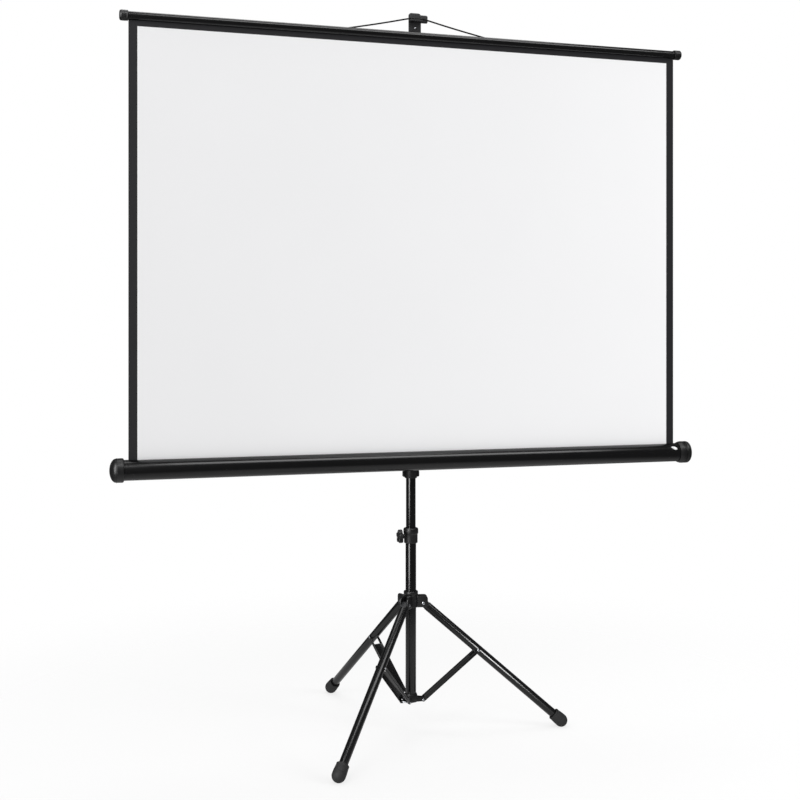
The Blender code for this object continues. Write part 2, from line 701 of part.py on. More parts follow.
clamp_bush = lathe(
    "clamp_bush",
    [
        (bush_in, seat_z + CLEAR),
        (bush_out, seat_z + CLEAR),
        (bush_out, seat_z + CLEAR + BUSH_H - BUSH_BEVEL),
        (bush_out - BUSH_BEVEL, seat_z + CLEAR + BUSH_H),
        (bush_in, seat_z + CLEAR + BUSH_H),
    ],
    BLACK_PLASTIC,
)
carry("mast_swivel_axis", (0, 0, seat_z), [clamp_bush])

# Star knob: a lobed rim, a neck towards the clamp and the stud that presses on the tube
rim = []
rim_steps = KNOB_LOBES * 6
for i in range(rim_steps):
    a = math.tau * i / rim_steps
    r = KNOB_R - KNOB_WAVE + KNOB_WAVE * math.cos(KNOB_LOBES * a)
    rim.append((r * math.cos(a), r * math.sin(a)))
neck_end = BOSS_OUT + CLEAR
knob_face = neck_end + KNOB_T
height_knob = plate("height_knob", rim, neck_end + KNOB_NECK / 3, knob_face, BLACK_PLASTIC)
soften(height_knob, KNOB_EDGE, 2, 50)
dish = lathe(
    "knob_dish",
    [
        (0, knob_face - KNOB_DISH_D),
        (KNOB_DISH_R - KNOB_DISH_D / 2, knob_face - KNOB_DISH_D),
        (KNOB_DISH_R, knob_face + KNOB_DISH_D),
        (0, knob_face + KNOB_DISH_D),
    ],
    BLACK_PLASTIC,
)
cut(height_knob, dish)
neck = rod("knob_neck", BOSS_R, neck_end, neck_end + KNOB_NECK, BLACK_PLASTIC)
join(height_knob, neck)
stud = rod("knob_stud", STUD_R, MAST_R + CLEAR, neck_end + KNOB_NECK * 1.3, BLACK_PLASTIC)
join(height_knob, stud)
for piece in (height_knob, neck, stud, dish):
    reshape(piece, Matrix.Translation((0, 0, KNOB_Z)) @ turned @ TO_X)
carry("knob_axis", (-BOSS_OUT, 0, KNOB_Z), [height_knob])

# Upper mast with the rod collar on its end and the release button in the collar's boss
mast_tube_upper = tube("mast_tube_upper", UPPER_R, UPPER_WALL, UPPER_FOOT_Z, UPPER_TOP_Z, BLACK_TUBE)
collar_low = UPPER_TOP_Z + CLEAR + COLLAR_LIP - COLLAR_H
collar_top = UPPER_TOP_Z + CLEAR + COLLAR_LIP
rod_collar = lathe(
    "rod_collar",
    [
        (UPPER_R + CLEAR, collar_low),
        (COLLAR_R - COLLAR_BEVEL, collar_low),
        (COLLAR_R, collar_low + COLLAR_BEVEL),
        (COLLAR_R, collar_top - COLLAR_BEVEL),
        (COLLAR_R - COLLAR_BEVEL, collar_top),
        (ROD_R + CLEAR, collar_top),
        (ROD_R + CLEAR, UPPER_TOP_Z + CLEAR),
        (UPPER_R + CLEAR, UPPER_TOP_Z + CLEAR),
    ],
    BLACK_PLASTIC,
)
button_z = collar_top - BUTTON_BOSS_R - COLLAR_BEVEL / 2
turn_y = Matrix.Translation((0, 0, button_z)) @ TO_Y
button_boss = rod("button_boss", BUTTON_BOSS_R, COLLAR_R - COLLAR_BEVEL, BUTTON_BOSS_OUT, BLACK_PLASTIC)
join(rod_collar, reshape(button_boss, turn_y))
button_in = BUTTON_OUT - BUTTON_LEN
button_hole = rod("button_hole", BUTTON_R + CLEAR, button_in - BUTTON_TRAVEL, BUTTON_OUT, BLACK_PLASTIC)
cut(rod_collar, reshape(button_hole, turn_y))
rod_button = lathe(
    "rod_button",
    [(0, button_in), (BUTTON_R, button_in), (BUTTON_R, BUTTON_OUT - 0.0015), (BUTTON_R - 0.0015, BUTTON_OUT),
     (0, BUTTON_OUT)],
    GREY_PLASTIC,
)
reshape(rod_button, turn_y)
carry("button_axis", (0, button_in, button_z), [rod_button])

# Case bracket: a sleeve with shoulders on the upper mast, a face plate on two webs, and the pivot bolt


def rounded(left, right, low, high, corner):
    """A rectangle's outline with round corners."""
    return (
        arc((right - corner, high - corner), corner, 0, 90, 4)
        + arc((left + corner, high - corner), corner, 90, 180, 4)
        + arc((left + corner, low + corner), corner, 180, 270, 4)
        + arc((right - corner, low + corner), corner, 270, 360, 4)
    )


case_bracket = lathe(
    "case_bracket",
    [
        (UPPER_R + CLEAR, SLEEVE_LOW),
        (SLEEVE_R - SLEEVE_BEVEL, SLEEVE_LOW),
        (SLEEVE_R, SLEEVE_LOW + SLEEVE_BEVEL),
        (SLEEVE_R, SLEEVE_HIGH - SLEEVE_BEVEL),
        (SLEEVE_R - SLEEVE_BEVEL, SLEEVE_HIGH),
        (UPPER_R + CLEAR, SLEEVE_HIGH),
    ],
    BLACK_PLASTIC,
)
shoulder_low = SLEEVE_LOW + SHOULDER_UP
shoulders = rounded(
    -SHOULDER_HALF_W, SHOULDER_HALF_W, shoulder_low, shoulder_low + SHOULDER_H, SHOULDER_CORNER
)
join(case_bracket, cheek("bracket_shoulders", shoulders, SHOULDER_DEPTH / 2, BLACK_PLASTIC))
face_outline = rounded(-FACE_HALF_W, FACE_HALF_W, CASE_Z - FACE_HALF_H, CASE_Z + FACE_HALF_H, FACE_CORNER)
face = cheek("bracket_face", face_outline, FACE_T / 2, BLACK_PLASTIC)
reshape(face, Matrix.Translation((0, FACE_BACK_Y - FACE_T / 2, 0)))
join(case_bracket, face)
web_y = (FACE_BACK_Y - FACE_T / 4, -WEB_ROOT)
for side, word in ((-1, "left"), (1, "right")):
    web = block(
        f"bracket_web_{word}",
        (WEB_T, web_y[1] - web_y[0], 2 * (FACE_HALF_H - FACE_CORNER / 2)),
        (side * WEB_AT, sum(web_y) / 2, CASE_Z),
        BLACK_PLASTIC,
    )
    join(case_bracket, web)
bracket_bore = rod(
    "bracket_bore", UPPER_R + CLEAR, SLEEVE_LOW - SHOULDER_H, SLEEVE_HIGH + SHOULDER_H, BLACK_PLASTIC, 22
)
cut(case_bracket, bracket_bore)
bolt_hole = cross_pin("bracket_hole", BOLT_R + CLEAR, 2 * FACE_T, 0, CASE_Z, BLACK_PLASTIC)
cut(case_bracket, reshape(bolt_hole, Matrix.Translation((0, FACE_BACK_Y - FACE_T / 2, 0))))
bolt_tail = FACE_BACK_Y + BOLT_TAIL
saddle_front = FACE_BACK_Y - FACE_T - CLEAR - SADDLE_T
head_at = saddle_front - CLEAR
case_pivot_bolt = lathe(
    "case_pivot_bolt",
    [
        (0, -bolt_tail),
        (BOLT_R, -bolt_tail),
        (BOLT_R, -head_at),
        (BOLT_HEAD_R, -head_at),
        (BOLT_HEAD_R, -head_at + BOLT_HEAD_T * 0.75),
        (BOLT_HEAD_R - BOLT_HEAD_T * 0.25, -head_at + BOLT_HEAD_T),
        (0, -head_at + BOLT_HEAD_T),
    ],
    ZINC, 24,
)
reshape(case_pivot_bolt, Matrix.Translation((0, 0, CASE_Z)) @ Matrix.Rotation(math.radians(90), 4, "X"))
bolt_nut = plate(
    "case_pivot_nut",
    arc((0, 0), NUT_R, 0, 300, 5),
    0, NUT_T, ZINC, False,
)
nut_hole = rod("pivot_nut_hole", BOLT_R + CLEAR, -NUT_T, 2 * NUT_T, ZINC)
cut(bolt_nut, nut_hole)
for piece in (bolt_nut, nut_hole):
    reshape(piece, Matrix.Translation((0, FACE_BACK_Y + CLEAR, CASE_Z)) @ TO_Y)
carry(
    "mast_slide_axis",
    (0, 0, UPPER_FOOT_Z),
    [mast_tube_upper, rod_collar, case_bracket, case_pivot_bolt, bolt_nut],
)

# Extension rod, and the hanger on its end that holds the bail
extension_rod = tube("extension_rod", ROD_R, ROD_WALL, ROD_FOOT_Z, ROD_TOP_Z, BLACK_TUBE, 28)
sleeve_top = ROD_TOP_Z + CLEAR + HANGER_CAP_T
rod_hanger = lathe(
    "rod_hanger",
    [
        (ROD_R + CLEAR, ROD_TOP_Z + HANGER_SLEEVE_LOW),
        (HANGER_SLEEVE_R, ROD_TOP_Z + HANGER_SLEEVE_LOW),
        (HANGER_SLEEVE_R, sleeve_top - HANGER_CAP_T / 2),
        (HANGER_SLEEVE_R - HANGER_CAP_T / 2, sleeve_top),
        (0, sleeve_top),
        (0, ROD_TOP_Z + CLEAR),
        (ROD_R + CLEAR, ROD_TOP_Z + CLEAR),
    ],
    BLACK_PLASTIC, 28,
)
hanger_low = ROD_TOP_Z + HANGER_LOW
arm_y = (HANGER_FRONT_Y + HANGER_T / 4, -(ROD_R + CLEAR + HANGER_SLEEVE_R) / 2)
arm = block(
    "hanger_arm",
    (HANGER_ARM_W, arm_y[1] - arm_y[0], sleeve_top - hanger_low),
    (HANGER_ARM_X, sum(arm_y) / 2, (sleeve_top + hanger_low) / 2),
    BLACK_PLASTIC,
)
join(rod_hanger, arm)
plate_at = Matrix.Translation((0, HANGER_FRONT_Y + HANGER_T / 2, 0))
upright_outline = rounded(HANGER_LEFT, HANGER_RIGHT, hanger_low, ROD_TOP_Z + HANGER_TOP, HANGER_CORNER)
upright = cheek("hanger_upright", upright_outline, HANGER_T / 2, BLACK_PLASTIC)
join(rod_hanger, reshape(upright, plate_at))
# The tray under the wire, with a low lip in front, drawn in (y, z)
seat_top = BAIL_TOP_Z - BAIL_R - CLEAR
tray_back = HANGER_FRONT_Y + HANGER_T / 4
tray_front = BAIL_TOP_Y - TRAY_REACH
tray = [
    (tray_back, seat_top - TRAY_T),
    (tray_front, seat_top - TRAY_T * 0.8),
    (tray_front, seat_top + TRAY_LIP),
    (tray_front + TRAY_LIP * 1.5, seat_top + TRAY_LIP),
    (tray_front + TRAY_LIP * 2, seat_top),
    (tray_back, seat_top),
]
tray_block = plate("hanger_tray", tray, 0, HANGER_RIGHT - HANGER_LEFT, BLACK_PLASTIC, False)
ACROSS = Matrix(((0, 0, 1, 0), (1, 0, 0, 0), (0, 1, 0, 0), (0, 0, 0, 1)))
join(rod_hanger, reshape(tray_block, Matrix.Translation((HANGER_LEFT, 0, 0)) @ ACROSS))
nose_outline = rounded(
    HANGER_RIGHT - 2 * HANGER_CORNER, NOSE_RIGHT, ROD_TOP_Z + NOSE_LOW, ROD_TOP_Z + NOSE_HIGH, NOSE_CORNER
)
join(rod_hanger, reshape(cheek("hanger_nose", nose_outline, HANGER_T / 2 - CLEAR, BLACK_PLASTIC), plate_at))
hanger_rivet = lathe(
    "hanger_rivet",
    [
        (0, 0),
        (HANGER_RIVET_R, 0),
        (HANGER_RIVET_R, HANGER_RIVET_T * 0.3),
        (HANGER_RIVET_R * 0.7, HANGER_RIVET_T * 0.8),
        (0, HANGER_RIVET_T),
    ],
    ZINC, 24,
)
reshape(
    hanger_rivet,
    Matrix.Translation((HANGER_RIVET_X, HANGER_FRONT_Y - CLEAR, ROD_TOP_Z + HANGER_RIVET_Z))
    @ Matrix.Rotation(math.radians(90), 4, "X"),
)
carry("rod_slide_axis", (0, 0, ROD_FOOT_Z), [extension_rod, rod_hanger, hanger_rivet])

# Case: a slotted tube, a saddle riveted to its back, end caps, and the clip for the bar on its front
TO_CASE = Matrix.Translation((0, CASE_Y, CASE_Z))
tube_half = CASE_HALF - CASE_CAP_LEN + CAP_GRIP
case_tube = tube("case_tube", CASE_R, CASE_WALL, -tube_half, tube_half, BLACK_TUBE, 36)
reshape(case_tube, TO_CASE @ TO_X)
slot_cut = block(
    "case_slot",
    (2 * (CLOTH_HALF + CASE_SLOT_SPARE), CASE_SLOT_W, CASE_R),
    (0, 0, CASE_R),
    BLACK_TUBE,
)
cut(case_tube, reshape(slot_cut, TO_CASE))

# The saddle in section: a middle plate that the bolt goes through, and two arms that hug the tube
hug = CASE_R + CLEAR
mid_out = FACE_BACK_Y - FACE_T - CLEAR - CASE_Y
mid_in = mid_out - SADDLE_T
saddle_line = [(mid_out, SADDLE_FLAT), (mid_out, -SADDLE_FLAT)]
saddle_line += arc((0, 0), hug + SADDLE_T, -SADDLE_NEAR, -SADDLE_FAR, 5)
saddle_line += arc((0, 0), hug, -SADDLE_FAR, -SADDLE_NEAR, 5)
saddle_line += [(mid_in, SADDLE_T - SADDLE_FLAT), (mid_in, SADDLE_FLAT - SADDLE_T)]
saddle_line += arc((0, 0), hug, SADDLE_NEAR, SADDLE_FAR, 5)
saddle_line += arc((0, 0), hug + SADDLE_T, SADDLE_FAR, SADDLE_NEAR, 5)
case_saddle = plate("case_saddle", saddle_line, -SADDLE_HALF, SADDLE_HALF, BLACK_PLASTIC)
saddle_hole = cross_pin("saddle_hole", BOLT_R + CLEAR, 4 * SADDLE_T, 0, CASE_Z, BLACK_PLASTIC)
cut(case_saddle, reshape(saddle_hole, Matrix.Translation((0, FACE_BACK_Y - FACE_T, 0))))
reshape(case_saddle, TO_CASE @ ACROSS)

# End caps: a flared skirt over the tube, a groove, and a domed end with a dished face and a dimple
caps = []
for side, word in ((-1, "left"), (1, "right")):
    bore = CASE_R + CLEAR
    skirt_in = CASE_HALF - CASE_CAP_LEN
    groove_in = skirt_in + CAP_GROOVE_AT
    groove_out = groove_in + CAP_GROOVE_W
    floor = tube_half + CLEAR
    face_r = CASE_CAP_R - CAP_DOME_R
    profile = [
        (bore, skirt_in),
        (CASE_R + CAP_LIP_T, skirt_in),
        (CASE_CAP_R, skirt_in + CAP_FLARE),
        (CASE_CAP_R, groove_in),
        (CASE_CAP_R - CAP_GROOVE_D, groove_in + CAP_GROOVE_W / 4),
        (CASE_CAP_R - CAP_GROOVE_D, groove_out - CAP_GROOVE_W / 4),
        (CASE_CAP_R, groove_out),
    ]
    for t in (0, 30, 60, 90):
        swell = math.radians(t)
        profile.append((face_r + CAP_DOME_R * math.cos(swell), CASE_HALF - CAP_DOME * (1 - math.sin(swell))))
    profile += [
        (face_r - 2 * CAP_FACE_D, CASE_HALF),
        (face_r - 3 * CAP_FACE_D, CASE_HALF - CAP_FACE_D),
        (CAP_DOT_R, CASE_HALF - CAP_FACE_D),
        (CAP_DOT_R, CASE_HALF - 3 * CAP_FACE_D),
        (0, CASE_HALF - 3 * CAP_FACE_D),
        (0, floor),
        (bore, floor),
    ]
    cap = lathe(f"case_cap_{word}", profile, BLACK_PLASTIC, 26)
    reshape(cap, TO_CASE @ Matrix.Scale(side, 4, (1, 0, 0)) @ TO_X)
    if side < 0:
        cap.data.flip_normals()
    caps.append(cap)

# Roller under the slot, so that the cloth rises straight from its front; its pins stand in the caps
ROLLER_Y = CASE_Y + ROLLER_R + CLOTH_T / 2 + CLEAR
roller_half = CLOTH_HALF + ROLLER_SPARE
to_roller = Matrix.Translation((0, ROLLER_Y, CASE_Z)) @ TO_X
roller_in = ROLLER_R - ROLLER_WALL
roller_bore = ROLLER_PIN_R + CLEAR
plug_at = roller_half - ROLLER_PLUG
roller_tube = lathe(
    "roller_tube",
    [
        (roller_bore, -roller_half),
        (ROLLER_R, -roller_half),
        (ROLLER_R, roller_half),
        (roller_bore, roller_half),
        (roller_bore, plug_at),
        (roller_in, plug_at),
        (roller_in, -plug_at),
        (roller_bore, -plug_at),
    ],
    ZINC, 28,
)
reshape(roller_tube, to_roller)
roller_pins = []
for side, word in ((-1, "idle"), (1, "spring")):
    ends = sorted((side * (roller_half - ROLLER_PIN_IN), side * (floor - CLEAR)))
    collar_at = sorted((side * (roller_half + CLEAR), side * (roller_half + ROLLER_END_GAP)))
    pin = rod(f"roller_{word}_pin", ROLLER_PIN_R, *ends, ZINC)
    washer = rod(f"{word}_pin_collar", ROLLER_PIN_R + ROLLER_END_GAP, *collar_at, ZINC)
    join(pin, washer)
    reshape(washer, to_roller)
    reshape(pin, to_roller)
    roller_pins.append(pin)

# White clip on the case's upper front, near the right end: a drop with its point up and inwards
clip_r = CASE_R + CLEAR
clip_left = CASE_HALF - CLIP_FROM_END
span = math.degrees(CLIP_W / 2 / clip_r)
rows = []
steps = 7
for i in range(steps + 1):
    share = i / steps
    half = span * (0.12 + 0.88 * math.sin(math.pi * (0.04 + 0.80 * share)) ** 1.2)
    middle = CLIP_TIP_ANGLE + (CLIP_HEAD_ANGLE - CLIP_TIP_ANGLE) * share
    rows.append((share * CLIP_LEN, half, middle))
bm = bmesh.new()
rings = []
for along, half, middle in rows:
    inner = arc((0, 0), clip_r, middle - half, middle + half, 4)
    outer = arc((0, 0), clip_r + CLIP_T, middle + half * 0.8, middle - half * 0.8, 4)
    rings.append([bm.verts.new((along, y, z)) for y, z in inner + outer])
for first, second in zip(rings, rings[1:]):
    for i in range(len(first)):
        after = (i + 1) % len(first)
        bm.faces.new((first[i], first[after], second[after], second[i]))
bm.faces.new(rings[0])
bm.faces.new(list(reversed(rings[-1])))
case_clip = finish_mesh("case_clip", bm, WHITE_PLASTIC)
reshape(case_clip, TO_CASE @ Matrix.Translation((clip_left, 0, 0)))

# Screen cloth: the white view and its black borders, each its own piece of the same sheet
cloth_foot = CASE_Z + CLOTH_FOOT
border_top_foot = WHITE_TOP_Z + CLEAR


def cloth(name, left, right, low, high, material):
    size = (right - left, CLOTH_T, high - low)
    return block(name, size, ((left + right) / 2, CASE_Y, (low + high) / 2), material)


view_half = WHITE_W / 2
screen_view = cloth("screen_view", -view_half, view_half, cloth_foot, WHITE_TOP_Z, WHITE_CLOTH)
border_left = cloth("border_left", -CLOTH_HALF, -view_half - CLEAR, cloth_foot, WHITE_TOP_Z, BLACK_CLOTH)
border_right = cloth("border_right", view_half + CLEAR, CLOTH_HALF, cloth_foot, WHITE_TOP_Z, BLACK_CLOTH)
carry("roller_axis", (0, ROLLER_Y, CASE_Z), [roller_tube])
carry(
    "case_swivel_axis",
    (0, saddle_front, CASE_Z),
    [case_tube, case_saddle, *caps, *roller_pins, case_clip, screen_view, border_left, border_right],
)

# Top bar: a tube slotted underneath for the cloth's edge, its caps, and the ears of the bail
TO_BAR = Matrix.Translation((0, CASE_Y, BAR_Z))
bar_tube_half = BAR_HALF - BAR_CAP_FLOOR
bar_tube = tube("bar_tube", BAR_R, BAR_WALL, -bar_tube_half, bar_tube_half, BLACK_TUBE, 28)
reshape(bar_tube, TO_BAR @ TO_X)
bar_slot = block(
    "bar_slot", (2 * (CLOTH_HALF + BAR_WALL), BAR_SLOT_W, BAR_R), (0, 0, -BAR_R), BLACK_TUBE
)
cut(bar_tube, reshape(bar_slot, TO_BAR))
border_top = cloth(
    "border_top", -CLOTH_HALF, CLOTH_HALF, border_top_foot, BAR_Z - BAR_R + BAR_WALL + BAR_GRIP, BLACK_CLOTH
)
bar_caps = []
for side, word in ((-1, "left"), (1, "right")):
    inner = BAR_HALF - BAR_CAP_LEN
    end = bar_tube_half + CLEAR
    profile = [
        (BAR_R + CLEAR, inner),
        (BAR_CAP_R - BAR_WALL, inner),
        (BAR_CAP_R, inner + BAR_WALL),
        (BAR_CAP_R, BAR_HALF - BAR_CAP_EDGE),
        (BAR_CAP_R - BAR_CAP_EDGE * 0.35, BAR_HALF - BAR_CAP_EDGE * 0.35),
        (BAR_CAP_R - BAR_CAP_EDGE, BAR_HALF),
        (0, BAR_HALF),
        (0, end),
        (BAR_R + CLEAR, end),
    ]
    cap = lathe(f"bar_cap_{word}", profile, BLACK_PLASTIC, 22)
    reshape(cap, TO_BAR @ Matrix.Scale(side, 4, (1, 0, 0)) @ TO_X)
    if side < 0:
        cap.data.flip_normals()
    bar_caps.append(cap)

# Bail ears: small blocks on the bar's upper back, drilled across for the wire's ends
lean = math.radians(EAR_LEAN)
bail_out = BAR_R + BAIL_AXIS_OUT
bail_axis_y = CASE_Y + bail_out * math.sin(lean)
bail_axis_z = BAR_Z + bail_out * math.cos(lean)
ears = []
for side, word in ((-1, "left"), (1, "right")):
    section = arc((0, 0), BAR_R + CLEAR, 90 + EAR_SEAT, 90 - EAR_SEAT, 6)
    section += arc((0, bail_out), EAR_R, -10, 190, 8)
    ear = plate(f"bail_ear_{word}", section, -EAR_LEN / 2, EAR_LEN / 2, BLACK_PLASTIC)
    hole = rod(f"bail_ear_hole_{word}", BAIL_R + CLEAR, -EAR_LEN, EAR_LEN, BLACK_PLASTIC, 16)
    reshape(hole, Matrix.Translation((0, bail_out, 0)))
    cut(ear, hole)
    for piece in (ear, hole):
        turned_back = Matrix.Rotation(-lean, 4, "X") @ ACROSS
        reshape(piece, Matrix.Translation((side * (BAIL_X + EAR_LEN / 2), CASE_Y, BAR_Z)) @ turned_back)
    ears.append(ear)
carry("top_bar_axis", (0, CASE_Y, BAR_Z), [bar_tube, border_top, *bar_caps, *ears])

# Bail: one bent wire, its ends turned outwards into the ears, its middle on the hanger's tray
foot = Vector((BAIL_X, bail_axis_y, bail_axis_z))
flat = max(-HANGER_LEFT, HANGER_RIGHT) - HANGER_T / 2
points = [
    foot + Vector((EAR_LEN + BAIL_R / 2, 0, 0)),
    foot + Vector((0, 0, 0)),
    foot + Vector((-BAIL_R, 0, BAIL_R * 0.4)),
    foot + Vector((-2.5 * BAIL_R, 0, BAIL_R * 1.1)),
]
right_top = Vector((flat + 2 * BAIL_R, BAIL_TOP_Y, BAIL_TOP_Z))
for share in (0.25, 0.5, 0.75):
    points.append(points[3].lerp(right_top, share) + Vector((0, 0, -BAIL_SAG * math.sin(math.pi * share))))
points += [right_top + Vector((BAIL_R, 0, -BAIL_R * 0.4)), right_top + Vector((-BAIL_R, 0, 0))]
left_side = [Vector((-p.x, p.y, p.z)) for p in reversed(points)]
bail_curve = bpy.data.curves.new("bail_wire", "CURVE")
bail_curve.dimensions = "3D"
bail_curve.bevel_depth = BAIL_R
bail_curve.bevel_resolution = 2
bail_curve.use_fill_caps = True
spline = bail_curve.splines.new("POLY")
path = points + left_side
spline.points.add(len(path) - 1)
for point, at in zip(spline.points, path):
    point.co = (*at, 1.0)
bail_curve.materials.append(BLACK_TUBE)
bail_wire = bpy.data.objects.new("bail_wire", bail_curve)
bpy.context.scene.collection.objects.link(bail_wire)
carry("bail_axis", (0, bail_axis_y, bail_axis_z), [bail_wire])
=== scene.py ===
"""A portable pull-up projector screen on a folding tripod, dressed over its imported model."""
import math

import bmesh
import bpy
from mathutils import Matrix, Vector


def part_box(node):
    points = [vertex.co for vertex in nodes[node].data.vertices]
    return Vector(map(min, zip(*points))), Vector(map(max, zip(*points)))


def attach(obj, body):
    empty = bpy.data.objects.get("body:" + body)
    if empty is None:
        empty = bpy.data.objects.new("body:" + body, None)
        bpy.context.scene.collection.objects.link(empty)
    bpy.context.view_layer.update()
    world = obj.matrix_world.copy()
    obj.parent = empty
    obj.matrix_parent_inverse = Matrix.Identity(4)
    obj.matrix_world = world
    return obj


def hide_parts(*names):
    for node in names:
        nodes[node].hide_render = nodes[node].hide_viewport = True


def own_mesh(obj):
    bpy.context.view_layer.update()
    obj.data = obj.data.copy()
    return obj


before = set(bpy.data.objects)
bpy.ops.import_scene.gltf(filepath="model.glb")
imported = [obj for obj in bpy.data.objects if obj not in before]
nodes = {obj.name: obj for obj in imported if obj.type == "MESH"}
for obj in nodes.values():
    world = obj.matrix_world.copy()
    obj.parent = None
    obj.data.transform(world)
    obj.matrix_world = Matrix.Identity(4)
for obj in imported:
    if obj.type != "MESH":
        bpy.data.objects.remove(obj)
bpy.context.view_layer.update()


# Camera and light
# The photograph is taken level, from the left of the screen, so the upper bar climbs to the left.
# The set is white paper in a white room, with a soft key high on the left, a fill on the right
# that lights matt surfaces only, and a broad light overhead.
camera_data = bpy.data.cameras.new("camera")
camera_data.lens = 54.2
camera_data.sensor_width = 36.0
camera_data.shift_x = -0.00340
camera_data.shift_y = -0.0899
camera_data.clip_end = 60.0
camera = bpy.data.objects.new("camera", camera_data)
camera.location = (-1.118, -3.6913, 1.2725)
camera.rotation_euler = (math.radians(90.0), 0.0, math.radians(-16.68))
bpy.context.scene.collection.objects.link(camera)
bpy.context.scene.camera = camera
bpy.context.scene.view_settings.view_transform = "Standard"


def srgb(text):
    """The linear colour of a six digit sRGB code."""
    parts = [int(text[i : i + 2], 16) / 255 for i in (0, 2, 4)]
    return tuple(p / 12.92 if p <= 0.04045 else ((p + 0.055) / 1.055) ** 2.4 for p in parts) + (1.0,)


def node(tree, kind, links=None, **values):
    """Adds a node, sets its fields and inputs, and links its inputs from other sockets."""
    made = tree.nodes.new(kind)
    for key, value in values.items():
        if key in made.inputs:
            made.inputs[key].default_value = value
        else:
            setattr(made, key, value)
    for key, socket in (links or {}).items():
        tree.links.new(socket, made.inputs[key])
    return made


world = bpy.data.worlds.new("studio")
world.use_nodes = True
bpy.context.scene.world = world
tree = world.node_tree
tree.nodes.clear()
ray = node(tree, "ShaderNodeLightPath")
seen = node(
    tree, "ShaderNodeMath", {0: ray.outputs["Is Camera Ray"], 1: ray.outputs["Is Transmission Ray"]},
    operation="MAXIMUM",
)
# Black flags round the set keep the gloss dark, while the paper still fills the matt surfaces
dim = node(tree, "ShaderNodeMapRange", {"Value": ray.outputs["Is Glossy Ray"]})
dim.inputs["To Min"].default_value = 0.62
dim.inputs["To Max"].default_value = 0.11
room = node(tree, "ShaderNodeBackground", {"Strength": dim.outputs["Result"]}, Color=srgb("F8F8F8"))
paper = node(tree, "ShaderNodeBackground", Color=(1.0, 1.0, 1.0, 1.0), Strength=1.0)
both = node(tree, "ShaderNodeMixShader", {0: seen.outputs[0], 1: room.outputs[0], 2: paper.outputs[0]})
node(tree, "ShaderNodeOutputWorld", {"Surface": both.outputs[0]})


def softbox(name, place, aim, size, watts, diffuse=True, glossy=True):
    """A rectangular light turned to a point; it can be kept off matt or off glossy surfaces."""
    data = bpy.data.lights.new(name, "AREA")
    data.shape = "RECTANGLE"
    data.size, data.size_y = size
    data.energy = watts
    made = bpy.data.objects.new(name, data)
    made.location = place
    made.rotation_euler = (Vector(aim) - Vector(place)).to_track_quat("-Z", "Y").to_euler()
    made.visible_diffuse = diffuse
    made.visible_glossy = glossy
    bpy.context.scene.collection.objects.link(made)
    return made


softbox("key", (-3.2, -3.4, 4.2), (0.0, 0.0, 0.9), (2.4, 2.4), 58.0)
softbox("fill", (3.8, -3.0, 2.2), (0.0, 0.0, 0.8), (1.6, 2.6), 96.0, glossy=False)
softbox("top", (0.2, 0.6, 4.6), (0.0, 0.0, 0.4), (3.2, 2.0), 46.0)
softbox("left edge strip", (-3.2, -2.5, 2.6), (0.0, -0.05, 2.6), (1.4, 5.2), 265.0, diffuse=False)
softbox("overhead edge strip", (1.3, -2.5, 5.0), (1.3, -0.15, 0.86), (5.4, 1.6), 118.0, diffuse=False)
# The two strips draw the lines of light along mast, case and bar, and a low card in front draws
# the one down the right leg; it is flagged off everything but the leg tubes
low_card = softbox("low card", (1.3, -4.0, 0.6), (0.2, 0.0, 0.3), (1.3, 1.0), 130.0, diffuse=False)
legs_lit = bpy.data.collections.new("lit by the low card")
low_card.light_linking.receiver_collection = legs_lit


# Floor
# White paper under the feet that fades into the white background. Most of its white is its own,
# so the shadows stay as faint as in a bright studio, and it shows darker in glossy surfaces.
paper_radius, fade_start, fade_end = 9.0, 0.75, 2.2
bpy.ops.mesh.primitive_circle_add(vertices=96, radius=paper_radius, fill_type="NGON", location=(0, 0, 0))
floor = bpy.context.active_object
floor.name = "floor"
seamless = bpy.data.materials.new("seamless white paper")
seamless.use_nodes = True
tree = seamless.node_tree
tree.nodes.clear()
place = node(tree, "ShaderNodeTexCoord")
far = node(tree, "ShaderNodeVectorMath", {0: place.outputs["Object"]}, operation="LENGTH")
fade = node(tree, "ShaderNodeMapRange", {"Value": far.outputs["Value"]}, interpolation_type="SMOOTHSTEP")
fade.inputs["From Min"].default_value = fade_start
fade.inputs["From Max"].default_value = fade_end
matt = node(tree, "ShaderNodeBsdfDiffuse", Color=(0.93, 0.93, 0.93, 1.0))
ray = node(tree, "ShaderNodeLightPath")
level = node(tree, "ShaderNodeMapRange", {"Value": ray.outputs["Is Glossy Ray"]})
level.inputs["To Min"].default_value = 1.02
level.inputs["To Max"].default_value = 0.5
glow = node(
    tree, "ShaderNodeEmission", {"Strength": level.outputs["Result"]}, Color=(1.0, 1.0, 1.0, 1.0)
)
lit = node(tree, "ShaderNodeMixShader", {1: matt.outputs[0], 2: glow.outputs[0]}, Fac=0.72)
clear = node(tree, "ShaderNodeBsdfTransparent")
mixed = node(
    tree, "ShaderNodeMixShader", {0: fade.outputs["Result"], 1: lit.outputs[0], 2: clear.outputs[0]}
)
node(tree, "ShaderNodeOutputMaterial", {"Surface": mixed.outputs[0]})
floor.data.materials.append(seamless)
bpy.ops.object.select_all(action="DESELECT")


# Screen cloth
# Matt white projection cloth with black printed side borders and a black back, 0.45 mm thick.
# It leaves the case by its slot, hangs dead flat between bar and case, and rolls away below.
low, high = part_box("screen_view")
left_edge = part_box("border_left")[0].x
right_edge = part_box("border_right")[1].x
view_half = high.x
cloth_y = (low.y + high.y) / 2
cloth_foot = low.z
cloth_top = high.z
cloth_width = right_edge - left_edge
cloth_thickness = 0.00045
face_offset = 0.00022


